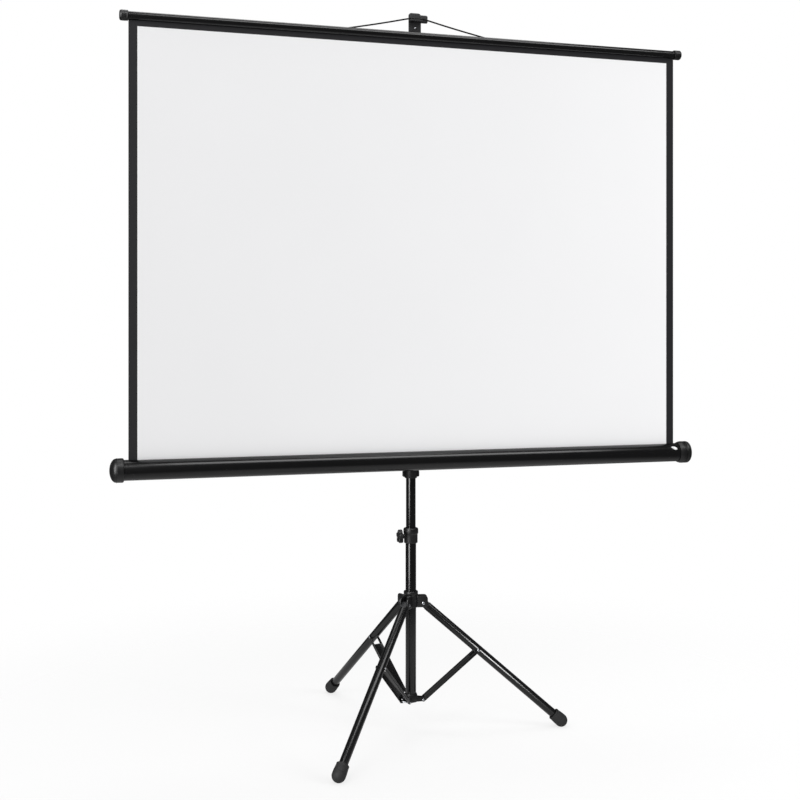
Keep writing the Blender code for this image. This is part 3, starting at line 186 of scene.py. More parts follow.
def noise(tree, scale, detail):
    """The value of a noise that stays with the piece; scale is about the patches to a metre."""
    place = node(tree, "ShaderNodeTexCoord")
    links = {"Vector": place.outputs["Object"]}
    return node(tree, "ShaderNodeTexNoise", links, Scale=scale, Detail=detail).outputs["Fac"]


def cloth_finish(name, front, back):
    """Coated woven cloth: quite matt, with a fine weave in relief and a soft mottle of two tones."""
    made = bpy.data.materials.new(name)
    made.use_nodes = True
    tree = made.node_tree
    skin = tree.nodes["Principled BSDF"]
    # Threads are 0.4 mm apart, drawn at about 1 mm to show at all; the mottle is half a metre wide
    weave, mottle = noise(tree, 900.0, 2.0), noise(tree, 2.2, 3.0)
    shade = node(tree, "ShaderNodeMix", {"Factor": mottle}, data_type="RGBA")
    shade.inputs[6].default_value = srgb(front)
    shade.inputs[7].default_value = srgb(back)
    tree.links.new(shade.outputs[2], skin.inputs["Base Color"])
    bumps = node(tree, "ShaderNodeBump", {"Height": weave}, Strength=0.06, Distance=0.0002)
    tree.links.new(bumps.outputs["Normal"], skin.inputs["Normal"])
    skin.inputs["Roughness"].default_value = 0.88
    skin.inputs["Specular IOR Level"].default_value = 0.25
    return made


def turn(degrees, axis):
    """The matrix of a turn about one axis."""
    return Matrix.Rotation(math.radians(degrees), 4, axis)


def hung_cloth(name, foot, top, across, up):
    """An upright sheet between two heights, so many faces across and up, still without thickness."""
    bpy.ops.mesh.primitive_grid_add(
        x_subdivisions=across, y_subdivisions=up, size=1.0, location=(0, 0, 0)
    )
    made = bpy.context.active_object
    made.name = name
    made.data.transform(
        Matrix.Translation((0, cloth_y - face_offset, (foot + top) / 2))
        @ turn(90, "X")
        @ Matrix.Diagonal((cloth_width, top - foot, 1.0, 1.0))
    )
    return made


def thickened(made, *faces):
    """Gives a sheet its thickness and its finishes: the first in front, the last on back and edges."""
    thick = made.modifiers.new("cloth thickness", "SOLIDIFY")
    thick.thickness = cloth_thickness
    thick.offset = -1.0
    bpy.ops.object.modifier_apply(modifier=thick.name)
    for finish in faces:
        made.data.materials.append(finish)
    for face in made.data.polygons:
        face.material_index = 0 if face.normal.y < -0.5 else len(faces) - 1


# The white coat scatters light so evenly that the view looks flat and glareless, and the black
# print and back swallow it, so no light shines through or round the picture
white_face = cloth_finish("matt white projection cloth", "F0F0F1", "F4F4F5")
black_print = cloth_finish("black printed cloth border", "1B1B1D", "202023")
black_back = cloth_finish("black cloth backing", "161617", "1B1B1C")

cloth = hung_cloth("screen_cloth", cloth_foot, cloth_top, 2, 40)
# Cut lines where the white view meets the borders, and half-way out to them
bpy.ops.object.mode_set(mode="EDIT")
for cut_x in (-view_half, view_half, -view_half * 0.5, view_half * 0.5):
    bpy.ops.mesh.select_all(action="SELECT")
    bpy.ops.mesh.bisect(plane_co=(cut_x, 0, 0), plane_no=(1, 0, 0))
bpy.ops.object.mode_set(mode="OBJECT")
thickened(cloth, white_face, black_print, black_back)
for face in cloth.data.polygons:
    if face.normal.y < -0.5 and abs(face.center.x) > view_half:
        face.material_index = 1
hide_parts("screen_view", "border_left", "border_right")
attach(cloth, "case")
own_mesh(cloth)


# Mast and rod
# Drawn steel tube with walls of about 1 mm, cut square and deburred, stove enamelled black inside
# and out. The lower mast stands in the spider, the upper one slides in it, and the rod in that.
def hard_finish(name, dark, light, roughness, spread, bump, scale, metallic=0.0):
    """A hard surface with a mottle between two colours and two roughnesses, over a finer grain."""
    made = bpy.data.materials.new(name)
    made.use_nodes = True
    tree = made.node_tree
    skin = tree.nodes["Principled BSDF"]
    # Patches of about 26 mm, as wide as the wiped marks that handling leaves
    mottle, grain = noise(tree, 38.0, 4.0), noise(tree, scale, 3.0)
    shade = node(tree, "ShaderNodeMix", {"Factor": mottle}, data_type="RGBA")
    shade.inputs[6].default_value = srgb(dark)
    shade.inputs[7].default_value = srgb(light)
    tree.links.new(shade.outputs[2], skin.inputs["Base Color"])
    rough = node(tree, "ShaderNodeMapRange", {"Value": mottle})
    rough.inputs["To Min"].default_value = roughness - spread
    rough.inputs["To Max"].default_value = roughness + spread
    tree.links.new(rough.outputs["Result"], skin.inputs["Roughness"])
    bumps = node(tree, "ShaderNodeBump", {"Height": grain}, Strength=bump, Distance=0.0003)
    tree.links.new(bumps.outputs["Normal"], skin.inputs["Normal"])
    skin.inputs["Metallic"].default_value = metallic
    return made


# Enamel flows out smooth in the stove, with an orange peel about 3 mm long that barely ripples
# the clean lines of light along the tubes
enamel = hard_finish("black stove enamel", "09090A", "0C0C0D", 0.20, 0.02, 0.004, 300.0)


def only(piece=None):
    """Deselects everything, and then makes one piece the selected and active one if it is given."""
    bpy.ops.object.select_all(action="DESELECT")
    if piece:
        piece.select_set(True)
        bpy.context.view_layer.objects.active = piece


def pick(test, kind="FACE"):
    """Selects the faces or edges of the piece in edit mode whose middle passes the test."""
    bpy.ops.mesh.select_mode(type=kind)
    bpy.ops.mesh.select_all(action="DESELECT")
    bm = bmesh.from_edit_mesh(bpy.context.active_object.data)
    for item in bm.faces if kind == "FACE" else bm.edges:
        centre = sum((vert.co for vert in item.verts), Vector()) / len(item.verts)
        item.select_set(bool(test(centre, item)))
    bm.select_flush_mode()
    bmesh.update_edit_mesh(bpy.context.active_object.data)


def along_axis(start, end):
    """The matrix that lays a piece made along +Z from the origin on the line from start to end."""
    line = (Vector(end) - Vector(start)).normalized()
    return Matrix.Translation(start) @ line.to_track_quat("Z", "Y").to_matrix().to_4x4()


def drawn_tube(name, radius, wall, start, end, around=72):
    """An enamelled cylinder, its ends inset by the wall, opened and bridged, and its rims rounded."""
    length = (Vector(end) - Vector(start)).length
    only()
    bpy.ops.mesh.primitive_cylinder_add(vertices=around, radius=radius, depth=length, location=(0, 0, 0))
    made = bpy.context.active_object
    made.name = name
    bpy.ops.object.mode_set(mode="EDIT")
    pick(lambda c, f: abs(f.normal.z) > 0.9)
    bpy.ops.mesh.inset(thickness=wall)
    bpy.ops.mesh.delete(type="FACE")
    pick(lambda c, e: len(e.link_faces) == 1, "EDGE")
    bpy.ops.mesh.bridge_edge_loops()
    pick(lambda c, e: math.hypot(c.x, c.y) > radius * 0.99 and abs(abs(c.z) - length / 2) < 1e-5, "EDGE")
    bpy.ops.mesh.bevel(offset=wall * 0.4, segments=2, profile=0.6)
    bpy.ops.object.mode_set(mode="OBJECT")
    bpy.ops.object.shade_smooth_by_angle(angle=math.radians(35))
    made.data.transform(along_axis(start, end) @ Matrix.Translation((0, 0, length / 2)))
    made.data.materials.append(enamel)
    return made


def span(node_name):
    """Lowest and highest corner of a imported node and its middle."""
    least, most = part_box(node_name)
    return least, most, (least + most) / 2


for name, body, wall in (
    ("mast_tube_lower", "stand", 0.0010),
    ("mast_tube_upper", "upper_mast", 0.0012),
    ("extension_rod", "rod", 0.0010),
):
    least, most, middle = span(name)
    foot, top = (middle.x, middle.y, least.z), (middle.x, middle.y, most.z)
    steel = drawn_tube("steel_" + name, (most.x - least.x) / 2, wall, foot, top)
    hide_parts(name)
    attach(steel, body)


# Legs
# Each leg is one drawn tube between the eye fitting at the hub and its rubber boot, drilled
# across near its middle for the sleeve that the brace turns on.
azimuths = (-11.8, 108.2, 228.2)
mast = span("mast_tube_lower")[2]
pin_r, hub_pin_z = 0.0390, 0.4044
boot_reach, boot_z = 0.4820, 0.0195
leg_length = math.hypot(boot_reach - pin_r, hub_pin_z - boot_z)
leg_tilt = math.atan2(boot_reach - pin_r, hub_pin_z - boot_z)
leg_radius, leg_wall = 0.0135, 0.0012
tube_start, tube_end = 0.0165, leg_length - 0.0100


def leg_place(azimuth):
    """Local X down the leg from its hub pin, local Z square to it, upwards and outwards."""
    a = math.radians(azimuth)
    out, up = Vector((math.cos(a), math.sin(a), 0)), Vector((0, 0, 1))
    along = out * math.sin(leg_tilt) - up * math.cos(leg_tilt)
    square = out * math.cos(leg_tilt) + up * math.sin(leg_tilt)
    across = square.cross(along)
    pin = Vector((mast.x, mast.y, 0)) + out * pin_r + up * hub_pin_z
    return Matrix([[along[i], across[i], square[i], pin[i]] for i in range(3)] + [[0, 0, 0, 1]])


for number, azimuth in enumerate(azimuths, 1):
    place = leg_place(azimuth)
    top, end = (place @ Vector((x, 0, 0)) for x in (tube_start, tube_end))
    steel = drawn_tube(f"steel_leg_{number}", leg_radius, leg_wall, top, end)
    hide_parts(f"leg_tube_{number}")
    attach(steel, f"leg_{number}")
    legs_lit.objects.link(steel)


# Leg boots
# Moulded rubber boots pushed over the tube ends: a soft rolled lip, a plain barrel, a shallow
# groove round the toe and a domed sole that has settled to a small flat on the floor.
def turned(name, profile, finish, around=72):
    """A ring extruded and scaled through (radius, height) steps; radius 0 ends it in a pole."""
    only()
    # A pole is turned as a tiny ring first, and merged to a point when the profile is done
    pole = 1e-4
    before = (max(profile[0][0], pole), profile[0][1])
    bpy.ops.mesh.primitive_circle_add(
        vertices=around, radius=before[0], fill_type="NOTHING", location=(0, 0, before[1])
    )
    made = bpy.context.active_object
    made.name = name
    made.data.transform(Matrix.Translation(made.location))
    made.location = (0, 0, 0)
    bpy.ops.object.mode_set(mode="EDIT")
    bpy.ops.mesh.select_mode(type="EDGE")
    bpy.ops.mesh.select_all(action="SELECT")
    for radius, height in profile[1:]:
        size = max(radius, pole)
        bpy.ops.mesh.extrude_region_move(TRANSFORM_OT_translate={"value": (0, 0, height - before[1])})
        bpy.ops.transform.resize(value=(size / before[0], size / before[0], 1.0))
        before = (size, height)
    for radius, height in (profile[0], profile[-1]):
        if radius == 0:
            pick(lambda c, e: math.hypot(c.x, c.y) < 2 * pole and abs(c.z - height) < 1e-6, "EDGE")
            bpy.ops.mesh.merge(type="CENTER")
    if profile[0][0] > 0 and profile[-1][0] > 0:
        pick(lambda c, e: len(e.link_faces) == 1, "EDGE")
        bpy.ops.mesh.bridge_edge_loops()
    bpy.ops.mesh.select_all(action="SELECT")
    bpy.ops.mesh.normals_make_consistent(inside=False)
    bpy.ops.object.mode_set(mode="OBJECT")
    bpy.ops.object.shade_smooth_by_angle(angle=math.radians(32))
    made.data.materials.append(finish)
    return made


def raised(base, steps):
    """Profile steps whose heights are counted from a base."""
    return [(radius, base + height) for radius, height in steps]


def dome_steps(end, flat, width, depth, angles):
    """Profile steps up a quarter ellipse that ends at a height, round a flat of the given radius."""
    turns = [math.radians(angle) for angle in angles]
    return [(flat + width * math.cos(t), end - depth * (1 - math.sin(t))) for t in turns]


# Rubber is dull and a little greyer than the tubes, with a moulded grain about 1 mm across, which
# is coarser than the real one so that it shows
rubber = hard_finish("black rubber", "171718", "1D1D1E", 0.72, 0.06, 0.35, 900.0)

boot_radius, boot_length, socket_radius = 0.0205, 0.0540, 0.0138
boot_end = leg_length + boot_radius
boot_mouth = boot_end - boot_length
socket_end = leg_length - 0.0097
floor_cut = 0.0001
boot_steps = [(0.0, socket_end), (socket_radius, socket_end)]
boot_steps += raised(boot_mouth, [
    (socket_radius, 0.0008), (0.0145, 0.0001), (0.0152, 0.0), (0.0172, 0.0), (0.0188, 0.0009),
    (0.0194, 0.0022), (0.0194, 0.0036), (0.0187, 0.0048), (0.0190, 0.0062), (0.0202, 0.0200),
    (0.0205, 0.0260), (0.0197, 0.0268), (0.0197, 0.0282), (0.0205, 0.0290),
])
boot_steps += dome_steps(boot_end, 0.0, boot_radius, boot_radius, range(0, 85, 7)) + [(0.0, boot_end)]
for number, azimuth in enumerate(azimuths, 1):
    boot = turned(f"rubber_boot_{number}", boot_steps, rubber)
    boot.data.transform(leg_place(azimuth) @ turn(90, "Y"))
    only(boot)
    bpy.ops.object.mode_set(mode="EDIT")
    bpy.ops.mesh.select_all(action="SELECT")
    bpy.ops.mesh.bisect(plane_co=(0, 0, floor_cut), plane_no=(0, 0, 1), clear_inner=True, use_fill=True)
    bpy.ops.object.mode_set(mode="OBJECT")
    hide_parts(f"leg_boot_{number}")
    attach(boot, f"leg_{number}")


# Small pressed and moulded parts of the linkage
# The braces are channels bent from 1.3 mm strip that straddle the legs; eyes, sleeves, spider and
# plug are nylon, the rivets and pins zinc plated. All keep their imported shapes, edges broken.

# Satin nylon, which gives broad soft highlights; the grain that the sparked mould leaves is drawn
# several times too coarse, at about 0.7 mm, so that it shows. The zinc is bright, slightly clouded
nylon = hard_finish("black moulded nylon", "0D0D0E", "121213", 0.40, 0.05, 0.10, 1400.0)
# The dark grey is the button's own colour; on the leg eyes it is also a painted highlight, standing in
# for the light along the flattened tube ends at the hub
grey_nylon_and_painted_highlight = hard_finish("dark grey moulded nylon", "2A2B2D", "313235", 0.50, 0.06, 0.25, 1400.0)
zinc = hard_finish("bright zinc plate", "A9ACB0", "C6C8CC", 0.28, 0.08, 0.08, 700.0, metallic=1.0)
finishes = {
    "black_tube": enamel, "black_plastic": nylon, "grey_plastic": grey_nylon_and_painted_highlight, "zinc_steel": zinc,
}


def edges_rounded(made, width, segments, angle):
    """Bevels every edge of the active piece that is sharper than an angle in degrees."""
    rounding = made.modifiers.new("broken edges", "BEVEL")
    rounding.width = width
    rounding.segments = segments
    rounding.limit_method = "ANGLE"
    rounding.angle_limit = math.radians(angle)
    bpy.ops.object.modifier_apply(modifier=rounding.name)


def edges_broken(node_name, body, slot_name, width, angle=40.0, segments=2):
    """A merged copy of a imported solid, its hard edges rounded, standing for that solid."""
    made = nodes[node_name].copy()
    made.data = nodes[node_name].data.copy()
    made.name = node_name + "_finished"
    bpy.context.scene.collection.objects.link(made)
    only(made)
    bpy.ops.object.mode_set(mode="EDIT")
    bpy.ops.mesh.select_all(action="SELECT")
    bpy.ops.mesh.remove_doubles(threshold=1e-5)
    bpy.ops.mesh.dissolve_limited(angle_limit=math.radians(0.5))
    bpy.ops.object.mode_set(mode="OBJECT")
    edges_rounded(made, width, segments, angle)
    bpy.ops.object.shade_smooth_by_angle(angle=math.radians(34))
    made.data.materials.clear()
    made.data.materials.append(finishes[slot_name])
    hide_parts(node_name)
    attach(made, body)


for number in (1, 2, 3):
    edges_broken(f"brace_{number}", f"brace_link_{number}", "black_tube", 0.0004)
    # The eyes' grey is partly a painted highlight on the tube ends
    edges_broken(f"leg_eye_{number}", f"leg_{number}", "grey_plastic", 0.0008)
    edges_broken(f"leg_lug_{number}", f"leg_{number}", "black_plastic", 0.0003)
    edges_broken(f"leg_rivet_{number}", f"leg_{number}", "zinc_steel", 0.0002)
    edges_broken(f"hub_pin_{number}", "leg_hub_slide", "zinc_steel", 0.0002)
    edges_broken(f"spider_pin_{number}", "stand", "zinc_steel", 0.0002)
edges_broken("brace_spider", "stand", "black_plastic", 0.0006)
edges_broken("mast_plug", "stand", "black_plastic", 0.0004)


# Hub
# A nylon ring that slides on the mast, with two thick cheeks for each leg, flat on top and round
# at their ends, and a separate collar on the ring that bears against the clamp when folded.
def stamped(name, left, right, low, high, thickness, corners, finish, edge):
    """A plate in X and Z, centred on Y = 0: its corners (low left, low right, high right, high left)
    are rounded, then it is extruded to its thickness and its edges are broken."""
    only()
    bpy.ops.mesh.primitive_plane_add(size=1.0, location=(0, 0, 0))
    made = bpy.context.active_object
    made.name = name
    made.data.transform(
        Matrix.Translation(((left + right) / 2, thickness / 2, (low + high) / 2))
        @ turn(90, "X")
        @ Matrix.Diagonal((right - left, high - low, 1.0, 1.0))
    )
    places = ((left, low), (right, low), (right, high), (left, high))
    bpy.ops.object.mode_set(mode="EDIT")
    for (x, z), radius in zip(places, corners):
        if radius:
            bpy.ops.mesh.select_mode(type="VERT")
            bpy.ops.mesh.select_all(action="DESELECT")
            bm = bmesh.from_edit_mesh(made.data)
            for vert in bm.verts:
                vert.select_set(abs(vert.co.x - x) < 1e-6 and abs(vert.co.z - z) < 1e-6)
            bmesh.update_edit_mesh(made.data)
            bpy.ops.mesh.bevel(offset=radius, segments=10, affect="VERTICES")
    bpy.ops.mesh.select_mode(type="FACE")
    bpy.ops.mesh.select_all(action="SELECT")
    bpy.ops.mesh.extrude_region_move(TRANSFORM_OT_translate={"value": (0, -thickness, 0)})
    bpy.ops.mesh.select_all(action="SELECT")
    bpy.ops.mesh.normals_make_consistent(inside=False)
    bpy.ops.object.mode_set(mode="OBJECT")
    edges_rounded(made, edge, 3, 40)
    bpy.ops.object.shade_smooth_by_angle(angle=math.radians(32))
    made.data.materials.append(finish)
    return made


def joined(name, parts):
    """One piece out of several overlapping ones."""
    only(parts[0])
    for item in parts[1:]:
        item.select_set(True)
    bpy.ops.object.join()
    parts[0].name = name
    return parts[0]


def on_mast(azimuth=0.0, height=0.0):
    """The mast's axis at a height, turned to an azimuth: local X outwards."""
    return Matrix.Translation((mast.x, mast.y, height)) @ turn(azimuth, "Z")


bore_r, ring_r = 0.0172, 0.0226
ring_low, ring_high = hub_pin_z - 0.0129, hub_pin_z + 0.0256
cheek_in, cheek_out, cheek_thick, cheek_off = 0.0192, 0.0530, 0.0050, 0.0120
cheek_low, cheek_top = ring_low + 0.0004, hub_pin_z + 0.0235
ring = turned("hub_ring", [
    (bore_r, ring_low + 0.0006), (bore_r + 0.0006, ring_low), (ring_r - 0.0008, ring_low),
    (ring_r, ring_low + 0.0008), (ring_r, ring_high - 0.0010), (ring_r - 0.0010, ring_high),
    (bore_r + 0.0006, ring_high), (bore_r, ring_high - 0.0006),
], nylon)
ring.data.transform(on_mast())
cheeks = []
for azimuth in azimuths:
    for side in (-1, 1):
        cheek = stamped(
            "hub_cheek", cheek_in, cheek_out, cheek_low, cheek_top, cheek_thick,
            (0, 0.0128, 0.0100, 0), nylon, 0.0009,
        )
        cheek.data.transform(on_mast(azimuth) @ Matrix.Translation((0, side * cheek_off, 0)))
        cheeks.append(cheek)
hub = joined("moulded_hub", [ring, *cheeks])
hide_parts("leg_hub")
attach(hub, "leg_hub_slide")

collar_low, collar_high = ring_high + 0.0003, ring_high + 0.0123
hub_collar = turned("moulded_hub_collar", [
    (bore_r, collar_low + 0.0004), (bore_r + 0.0004, collar_low), (ring_r - 0.0014, collar_low),
    (ring_r - 0.0006, collar_low + 0.0004), (ring_r, collar_low + 0.0014),
    (ring_r, collar_high - 0.0026), (ring_r - 0.0005, collar_high - 0.0011),
    (ring_r - 0.0014, collar_high - 0.0003), (ring_r - 0.0026, collar_high),
    (bore_r + 0.0004, collar_high), (bore_r, collar_high - 0.0004),
], nylon)
hub_collar.data.transform(on_mast())
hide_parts("hub_collar")
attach(hub_collar, "leg_hub_slide")


# Height clamp, bush and knob
# A nylon head screwed to the lower tube's mouth; the bush in it guides the upper mast, and a
# stud through the boss on its left, turned by a five-lobed knob, presses on the upper mast.
clamp_top, clamp_foot = 0.6410, 0.5935
seat_z, knob_z = 0.6348, 0.6150
neck_end = 0.0265
clamp_profile = [
    (0.0170, clamp_foot + 0.0005), (0.0175, clamp_foot), (0.0193, clamp_foot),
    (0.0207, clamp_foot + 0.0007), (0.0214, clamp_foot + 0.0022), (0.0215, clamp_foot + 0.0040),
    (0.0215, clamp_top - 0.0203), (0.0218, clamp_top - 0.0190), (0.0232, clamp_top - 0.0168),
    (0.0236, clamp_top - 0.0156), (0.0236, clamp_top - 0.0054), (0.0233, clamp_top - 0.0030),
    (0.0226, clamp_top - 0.0012), (0.0214, clamp_top - 0.0002), (0.0205, clamp_top),
    (0.0198, clamp_top), (0.0194, clamp_top - 0.0004), (0.0194, seat_z), (0.0170, seat_z),
]
barrel = turned("clamp_barrel", clamp_profile, nylon, 96)
boss = turned("clamp_boss", [
    (0.0, 0.0175), (0.0092, 0.0175), (0.0088, 0.0216), (0.0078, 0.0226), (0.0073, 0.0240),
    (0.0072, 0.0256), (0.0066, 0.0262), (0.0, 0.0262),
], nylon, 48)
boss.data.transform(Matrix.Translation((0, 0, knob_z)) @ turn(-90, "Y"))
clamp = joined("moulded_clamp", [barrel, boss])
clamp.data.transform(on_mast())
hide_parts("height_clamp")
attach(clamp, "stand")

bush = turned("moulded_bush", raised(seat_z, [
    (0.0155, 0.0007), (0.0159, 0.0003), (0.0191, 0.0003), (0.0191, 0.0060), (0.0186, 0.0071),
    (0.0178, 0.0075), (0.0160, 0.0075), (0.0155, 0.0070),
]), nylon)
bush.data.transform(on_mast())
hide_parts("clamp_bush")
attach(bush, "bush")

knob_low, knob_face = neck_end + 0.0020, neck_end + 0.0160
lobes, lobe_root, lobe_blend, lobe_dent = 5, 0.0150, 0.0040, 0.0031
knob = turned("moulded_star_knob", [
    (0.0, 0.0170), (0.0030, 0.0170), (0.0030, neck_end), (0.0066, neck_end),
    (0.0072, neck_end + 0.0006), (0.0072, neck_end + 0.0018), (0.0080, knob_low),
    (0.0194, knob_low), (0.0208, knob_low + 0.0006), (0.0217, knob_low + 0.0016),
    (0.0220, knob_low + 0.0030), (0.0220, knob_face - 0.0034),
    (0.0217, knob_face - 0.0018), (0.0207, knob_face - 0.0006), (0.0192, knob_face),
    (0.0122, knob_face), (0.0114, knob_face - 0.0004), (0.0109, knob_face - 0.0012),
    (0.0104, knob_face - 0.0023), (0.0096, knob_face - 0.0025), (0.0, knob_face - 0.0025),
], nylon, 120)
# The rim draws in between the lobes
for vert in knob.data.vertices:
    away = math.hypot(vert.co.x, vert.co.y)
    if away > lobe_root:
        share = min(1.0, (away - lobe_root) / lobe_blend)
        dent = lobe_dent * (1 - math.cos(lobes * math.atan2(vert.co.y, vert.co.x))) * share
        vert.co.x *= 1 - dent / away
        vert.co.y *= 1 - dent / away
knob.data.transform(on_mast(0.0, knob_z) @ turn(-90, "Y"))
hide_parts("height_knob")
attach(knob, "knob")


# Rod collar and release button
# A nylon collar over the upper mast's mouth guides the rod; a grey button in the boss on its
# back releases the spring catch.
collar_low, collar_top, mouth_seat = 1.1373, 1.1823, 1.1703
collar = turned("collar_barrel", [
    (0.0155, collar_low + 0.0004), (0.0159, collar_low), (0.0170, collar_low),
    (0.0184, collar_low + 0.0007), (0.0193, collar_low + 0.0020), (0.0195, collar_low + 0.0036),
    (0.0195, collar_top - 0.0036), (0.0193, collar_top - 0.0020), (0.0184, collar_top - 0.0007),
    (0.0168, collar_top), (0.0112, collar_top), (0.0108, collar_top - 0.0004),
    (0.0108, mouth_seat), (0.0155, mouth_seat),
], nylon)
button_z = collar_top - 0.0106
cup = turned("button_cup", [
    (0.0063, 0.0172), (0.0092, 0.0172), (0.0092, 0.0258), (0.0085, 0.0265), (0.0068, 0.0265),
    (0.0063, 0.0260),
], nylon, 56)
cup.data.transform(Matrix.Translation((0, 0, button_z)) @ turn(-90, "X"))
collar = joined("moulded_rod_collar", [collar, cup])
collar.data.transform(on_mast())
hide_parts("rod_collar")
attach(collar, "upper_mast")

button = turned("moulded_button", [
    (0.0, 0.0240), (0.0060, 0.0240), (0.0060, 0.0296), (0.0056, 0.0305), (0.0046, 0.0310),
    (0.0020, 0.0308), (0.0, 0.0307),
], grey_nylon_and_painted_highlight, 48)
button.data.transform(on_mast(0.0, button_z) @ turn(-90, "X"))
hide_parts("rod_button")
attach(button, "button")


# Case bracket, pivot bolt and saddle
# A nylon sleeve with shoulders on the upper mast carries a face plate on two webs; a zinc bolt
# through the plate holds the pressed saddle on the case's back, so the case can turn on it.
case_z = span("case_cap_left")[2].z
plate_back = mast.y - 0.0460
sleeve_low, sleeve_high = case_z - 0.0635, case_z + 0.0535
plate_thick, plate_wide, plate_high = 0.0036, 0.0275, 0.0260
web_off, web_reach, web_high, web_overlap = 0.0150, 0.0370, 0.0220, 0.0009
sleeve = turned("bracket_sleeve", [
    (0.0155, sleeve_low + 0.0004), (0.0159, sleeve_low), (0.0184, sleeve_low),
    (0.0192, sleeve_low + 0.0004), (0.0195, sleeve_low + 0.0012), (0.0195, sleeve_high - 0.0012),
    (0.0192, sleeve_high - 0.0004), (0.0184, sleeve_high), (0.0159, sleeve_high),
    (0.0155, sleeve_high - 0.0004),
], nylon)
sleeve.data.transform(on_mast())
shoulders = []
for side in (-1, 1):
    ends = sorted((side * 0.0165, side * 0.0265))
    left, right = (0.0045, 0) if side < 0 else (0, 0.0045)
    shoulder = stamped(
        "bracket_shoulder", *ends, sleeve_low + 0.0035, sleeve_low + 0.0235, 0.0120,
        (left, right, right, left), nylon, 0.0010,
    )
    shoulder.data.transform(on_mast())
    shoulders.append(shoulder)
face = stamped(
    "bracket_face", -plate_wide, plate_wide, case_z - plate_high, case_z + plate_high, plate_thick,
    (0.0080, 0.0080, 0.0080, 0.0080), nylon, 0.0008,
)
face.data.transform(Matrix.Translation((0, plate_back - plate_thick / 2, 0)))
webs = []
for side in (-1, 1):
    web = stamped(
        "bracket_web", 0.0, web_reach, case_z - web_high, case_z + web_high, plate_thick,
        (0, 0, 0, 0), nylon, 0.0005,
    )
    web.data.transform(
        Matrix.Translation((side * web_off, plate_back - web_overlap, 0)) @ turn(90, "Z")
    )
    webs.append(web)
bracket = joined("moulded_case_bracket", [sleeve, face, *shoulders, *webs])
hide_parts("case_bracket")
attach(bracket, "upper_mast")
edges_broken("case_pivot_bolt", "upper_mast", "zinc_steel", 0.0003)
edges_broken("case_pivot_nut", "upper_mast", "zinc_steel", 0.0004)
edges_broken("case_saddle", "case", "black_plastic", 0.0005)


# Case
# The roller case is a thin enamelled steel tube, slotted along its top for the cloth. Nylon caps plug
# its ends: flared and grooved on the right, with a fine rim and a long oval dome on the left. Inside,
# a zinc plated tube turns on two pins; a white clip sits on the case, its white partly a painted glint.
def slotted(tube, name, centre, size):
    """Cuts a long slot through a tube's wall, with a box of the given centre and size as the form."""
    only()
    bpy.ops.mesh.primitive_cube_add(size=1.0, location=(0, 0, 0))
    form = bpy.context.active_object
    form.data.transform(Matrix.Translation(centre) @ Matrix.Diagonal((*size, 1.0)))
    opening = tube.modifiers.new(name, "BOOLEAN")
    opening.object = form
    opening.solver = "EXACT"
    only(tube)
    bpy.ops.object.modifier_apply(modifier=opening.name)
    bpy.data.objects.remove(form)
    bpy.ops.object.shade_smooth_by_angle(angle=math.radians(35))


case_radius, case_wall = 0.0300, 0.0012
slot_width, slot_spare = 0.0110, 0.0080
case_low, case_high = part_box("case_tube")
case_y = span("case_cap_left")[2].y
shell = drawn_tube(
    "steel_case", case_radius, case_wall,
    (case_low.x, case_y, case_z), (case_high.x, case_y, case_z), 128,
)
slotted(
    shell, "cloth slot", (0, case_y, case_z + case_radius),
    (cloth_width + slot_spare, slot_width, case_radius * 0.8),
)
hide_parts("case_tube")
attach(shell, "case")

case_half = span("case_cap_right")[1].x
skirt = case_half - 0.0405
plug = raised(skirt, [
    (0.0, 0.0203), (0.0303, 0.0203), (0.0303, 0.0006), (0.0306, 0.0001), (0.0312, 0.0),
])
dish = raised(case_half, [(0.0031, -0.0013), (0.0028, -0.0026), (0.0020, -0.0030), (0.0, -0.0030)])
grooved = raised(skirt, [
    (0.0317, 0.0002), (0.0322, 0.0012), (0.0333, 0.0042), (0.0345, 0.0076), (0.0351, 0.0094),
    (0.0354, 0.0108), (0.0355, 0.0122), (0.0355, 0.0196), (0.0352, 0.0204), (0.0346, 0.0208),
    (0.0330, 0.0212), (0.0325, 0.0218), (0.0325, 0.0232), (0.0330, 0.0238), (0.0346, 0.0241),
    (0.0352, 0.0245), (0.0355, 0.0254), (0.0355, 0.0310),
])
grooved += dome_steps(case_half, 0.0255, 0.0100, 0.0085, range(0, 91, 9))
grooved += raised(case_half, [
    (0.0243, 0.0), (0.0236, -0.0002), (0.0229, -0.0007), (0.0222, -0.0010), (0.0036, -0.0010),
])
rimmed = raised(skirt, [
    (0.0326, 0.0003), (0.0345, 0.0018), (0.0351, 0.0034), (0.0353, 0.0052), (0.0349, 0.0192),
    (0.0351, 0.0197), (0.0355, 0.0200), (0.0355, 0.0209), (0.0351, 0.0217),
])
rimmed += dome_steps(case_half, 0.0, 0.0345, 0.0185, range(0, 85, 6))
for side, word, steps in ((-1, "left", rimmed), (1, "right", grooved)):
    cap = turned(f"moulded_case_cap_{word}", plug + steps + dish, nylon, 112)
    cap.data.transform(Matrix.Translation((0, case_y, case_z)) @ turn(90 * side, "Y"))
    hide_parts(f"case_cap_{word}")
    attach(cap, "case")
edges_broken("roller_tube", "roller", "zinc_steel", 0.0002)
edges_broken("roller_idle_pin", "case", "zinc_steel", 0.0002)
edges_broken("roller_spring_pin", "case", "zinc_steel", 0.0002)
# Satin like the nylon but white, the one light spot along the dark case; the clip's white is also a
# painted glint, standing in for a bright highlight on the glossy tube
finishes["white_plastic"] = hard_finish(
    "white moulded plastic", "E4E5E6", "EDEEEF", 0.42, 0.05, 0.12, 1200.0
)
edges_broken("case_clip", "case", "white_plastic", 0.0006, 25.0, 3)


